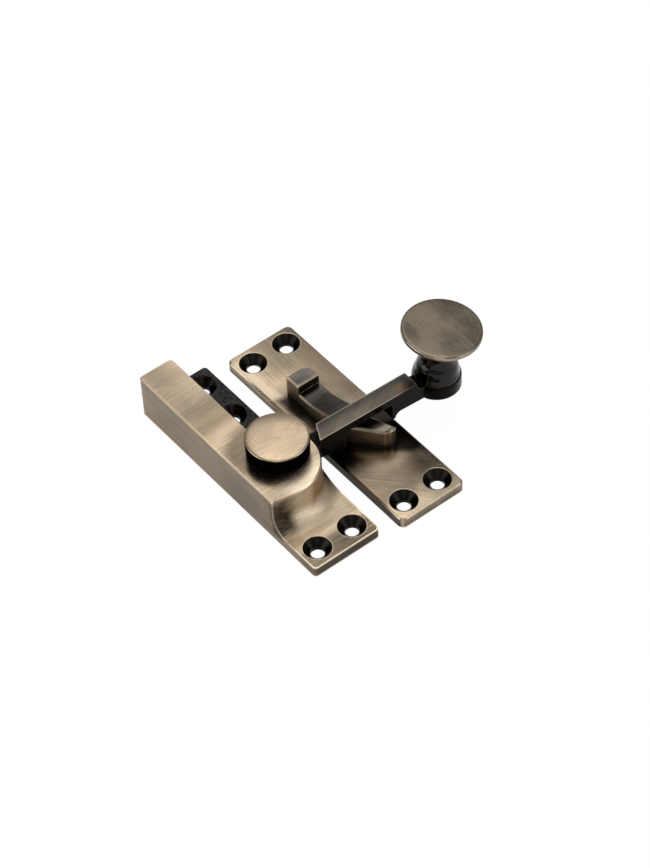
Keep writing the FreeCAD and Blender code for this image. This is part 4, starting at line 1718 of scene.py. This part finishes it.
@dataclass
class Studio:
    """The plain pale floor, the soft lamps and the camera of the photograph."""

    aim: Vector = field(default_factory=lambda: Vector((-30, 12, 6)) * MM)
    lamps: tuple[Softbox, ...] = (
        Softbox("back_softbox", 228, 58, 0.65, 0.45, 0.45, 0.75),
        Softbox("left_strip", 340, 17, 0.6, 0.48, 0.42, 1.15),
        Softbox("right_strip", 128, 34, 0.6, 0.30, 0.42, 0.60),
        Softbox("front_card", 104, 4, 0.6, 0.16, 0.10, 0.18),
        Softbox("near_card", 54, 14, 0.6, 0.30, 0.12, 0.22),
        Softbox("stem_glint", 349, 11, 0.56, 0.05, 0.12, 0.16),
        Softbox("camera_softbox", 54, 50, 0.85, 0.30, 0.30, 0.34),
        Softbox("top_softbox", 228, 88, 0.6, 0.40, 0.40, 0.36),
    )
    viewpoint: Viewpoint = Viewpoint()
    floor_reach: float = 6000.0
    floor_drop: float = 0.02
    floor_grey: Triple = (0.86, 0.86, 0.86)
    floor_glow: float = 1.035
    glossy_share: float = 0.29
    glow_share: float = 0.93
    room_low: Triple = (0.30, 0.29, 0.28)
    room_high: Triple = (0.52, 0.52, 0.53)
    room_rise: float = 0.9

    def floor_white(self) -> bpy.types.Material:
        """Build the floor's material: white to the camera, with the part's soft shadow.

        Returns:
            The material.
        """
        material = bpy.data.materials.new("floor_white")
        material.use_nodes = True
        material.node_tree.nodes.clear()
        w = Wiring(material.node_tree)
        matt = w.fed("ShaderNodeBsdfDiffuse", {"Color": (*self.floor_grey, 1.0)})
        lit = w.fed("ShaderNodeEmission", {"Strength": self.floor_glow})
        path = w.node("ShaderNodeLightPath").outputs
        seen = w.math("ADD", path["Is Camera Ray"],
                      w.times(path["Is Glossy Ray"], self.glossy_share))
        seen = w.math("ADD", seen, path["Is Transmission Ray"], clamp=True)
        mixed = w.fed("ShaderNodeMixShader", {0: w.times(seen, self.glow_share), 1: matt[0],
                                              2: lit[0]})
        w.fed("ShaderNodeOutputMaterial", {0: mixed[0]})
        return material

    def floor(self) -> None:
        """Lay the floor."""
        mesh = bpy.data.meshes.new("floor")
        reach = self.floor_reach * MM
        corners = [(-reach, -reach, 0), (reach, -reach, 0), (reach, reach, 0),
                   (-reach, reach, 0)]
        mesh.from_pydata(corners, [], [(0, 1, 2, 3)])
        mesh.materials.append(self.floor_white())
        laid = stand("floor", mesh)
        laid.location.z = -self.floor_drop * MM

    def world(self) -> None:
        """Set the room: white behind the part, and a soft grey that lights it."""
        world = bpy.data.worlds.new("room")
        bpy.context.scene.world = world
        world.use_nodes = True
        world.node_tree.nodes.clear()
        w = Wiring(world.node_tree)
        where = w.parts(w.node("ShaderNodeTexCoord").outputs["Generated"])
        room = w.blend(w.ramp(where[Axis.Z], 0.0, self.room_rise), self.room_low, self.room_high)
        seen = w.node("ShaderNodeLightPath").outputs["Is Camera Ray"]
        back = w.fed("ShaderNodeBackground", {"Color": w.blend(seen, room, WHITE)})
        w.fed("ShaderNodeOutputWorld", {0: back[0]})

    def build(self) -> None:
        """Build the whole studio."""
        self.floor()
        self.world()
        for lamp in self.lamps:
            lamp.hang(self.aim)
        self.viewpoint.build()
        bpy.context.scene.view_settings.view_transform = "Standard"
        log.info("studio: %d lamps", len(self.lamps))


def main() -> None:
    """Load the frame, dress every piece and set the studio."""
    logging.basicConfig(level=logging.INFO, format="%(name)s: %(message)s")
    for leftover in list(bpy.data.objects):
        bpy.data.objects.remove(leftover)
    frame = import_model()
    effects = Effects()
    for solid in (BodyCasting(), KeepPlate(), SwingArm()):
        solid.dress(frame["nodes"], effects)
    for turned in (PivotPin(), Washers(), Knob()):
        turned.build(effects)
    Studio().build()


if __name__ == "__main__":
    main()
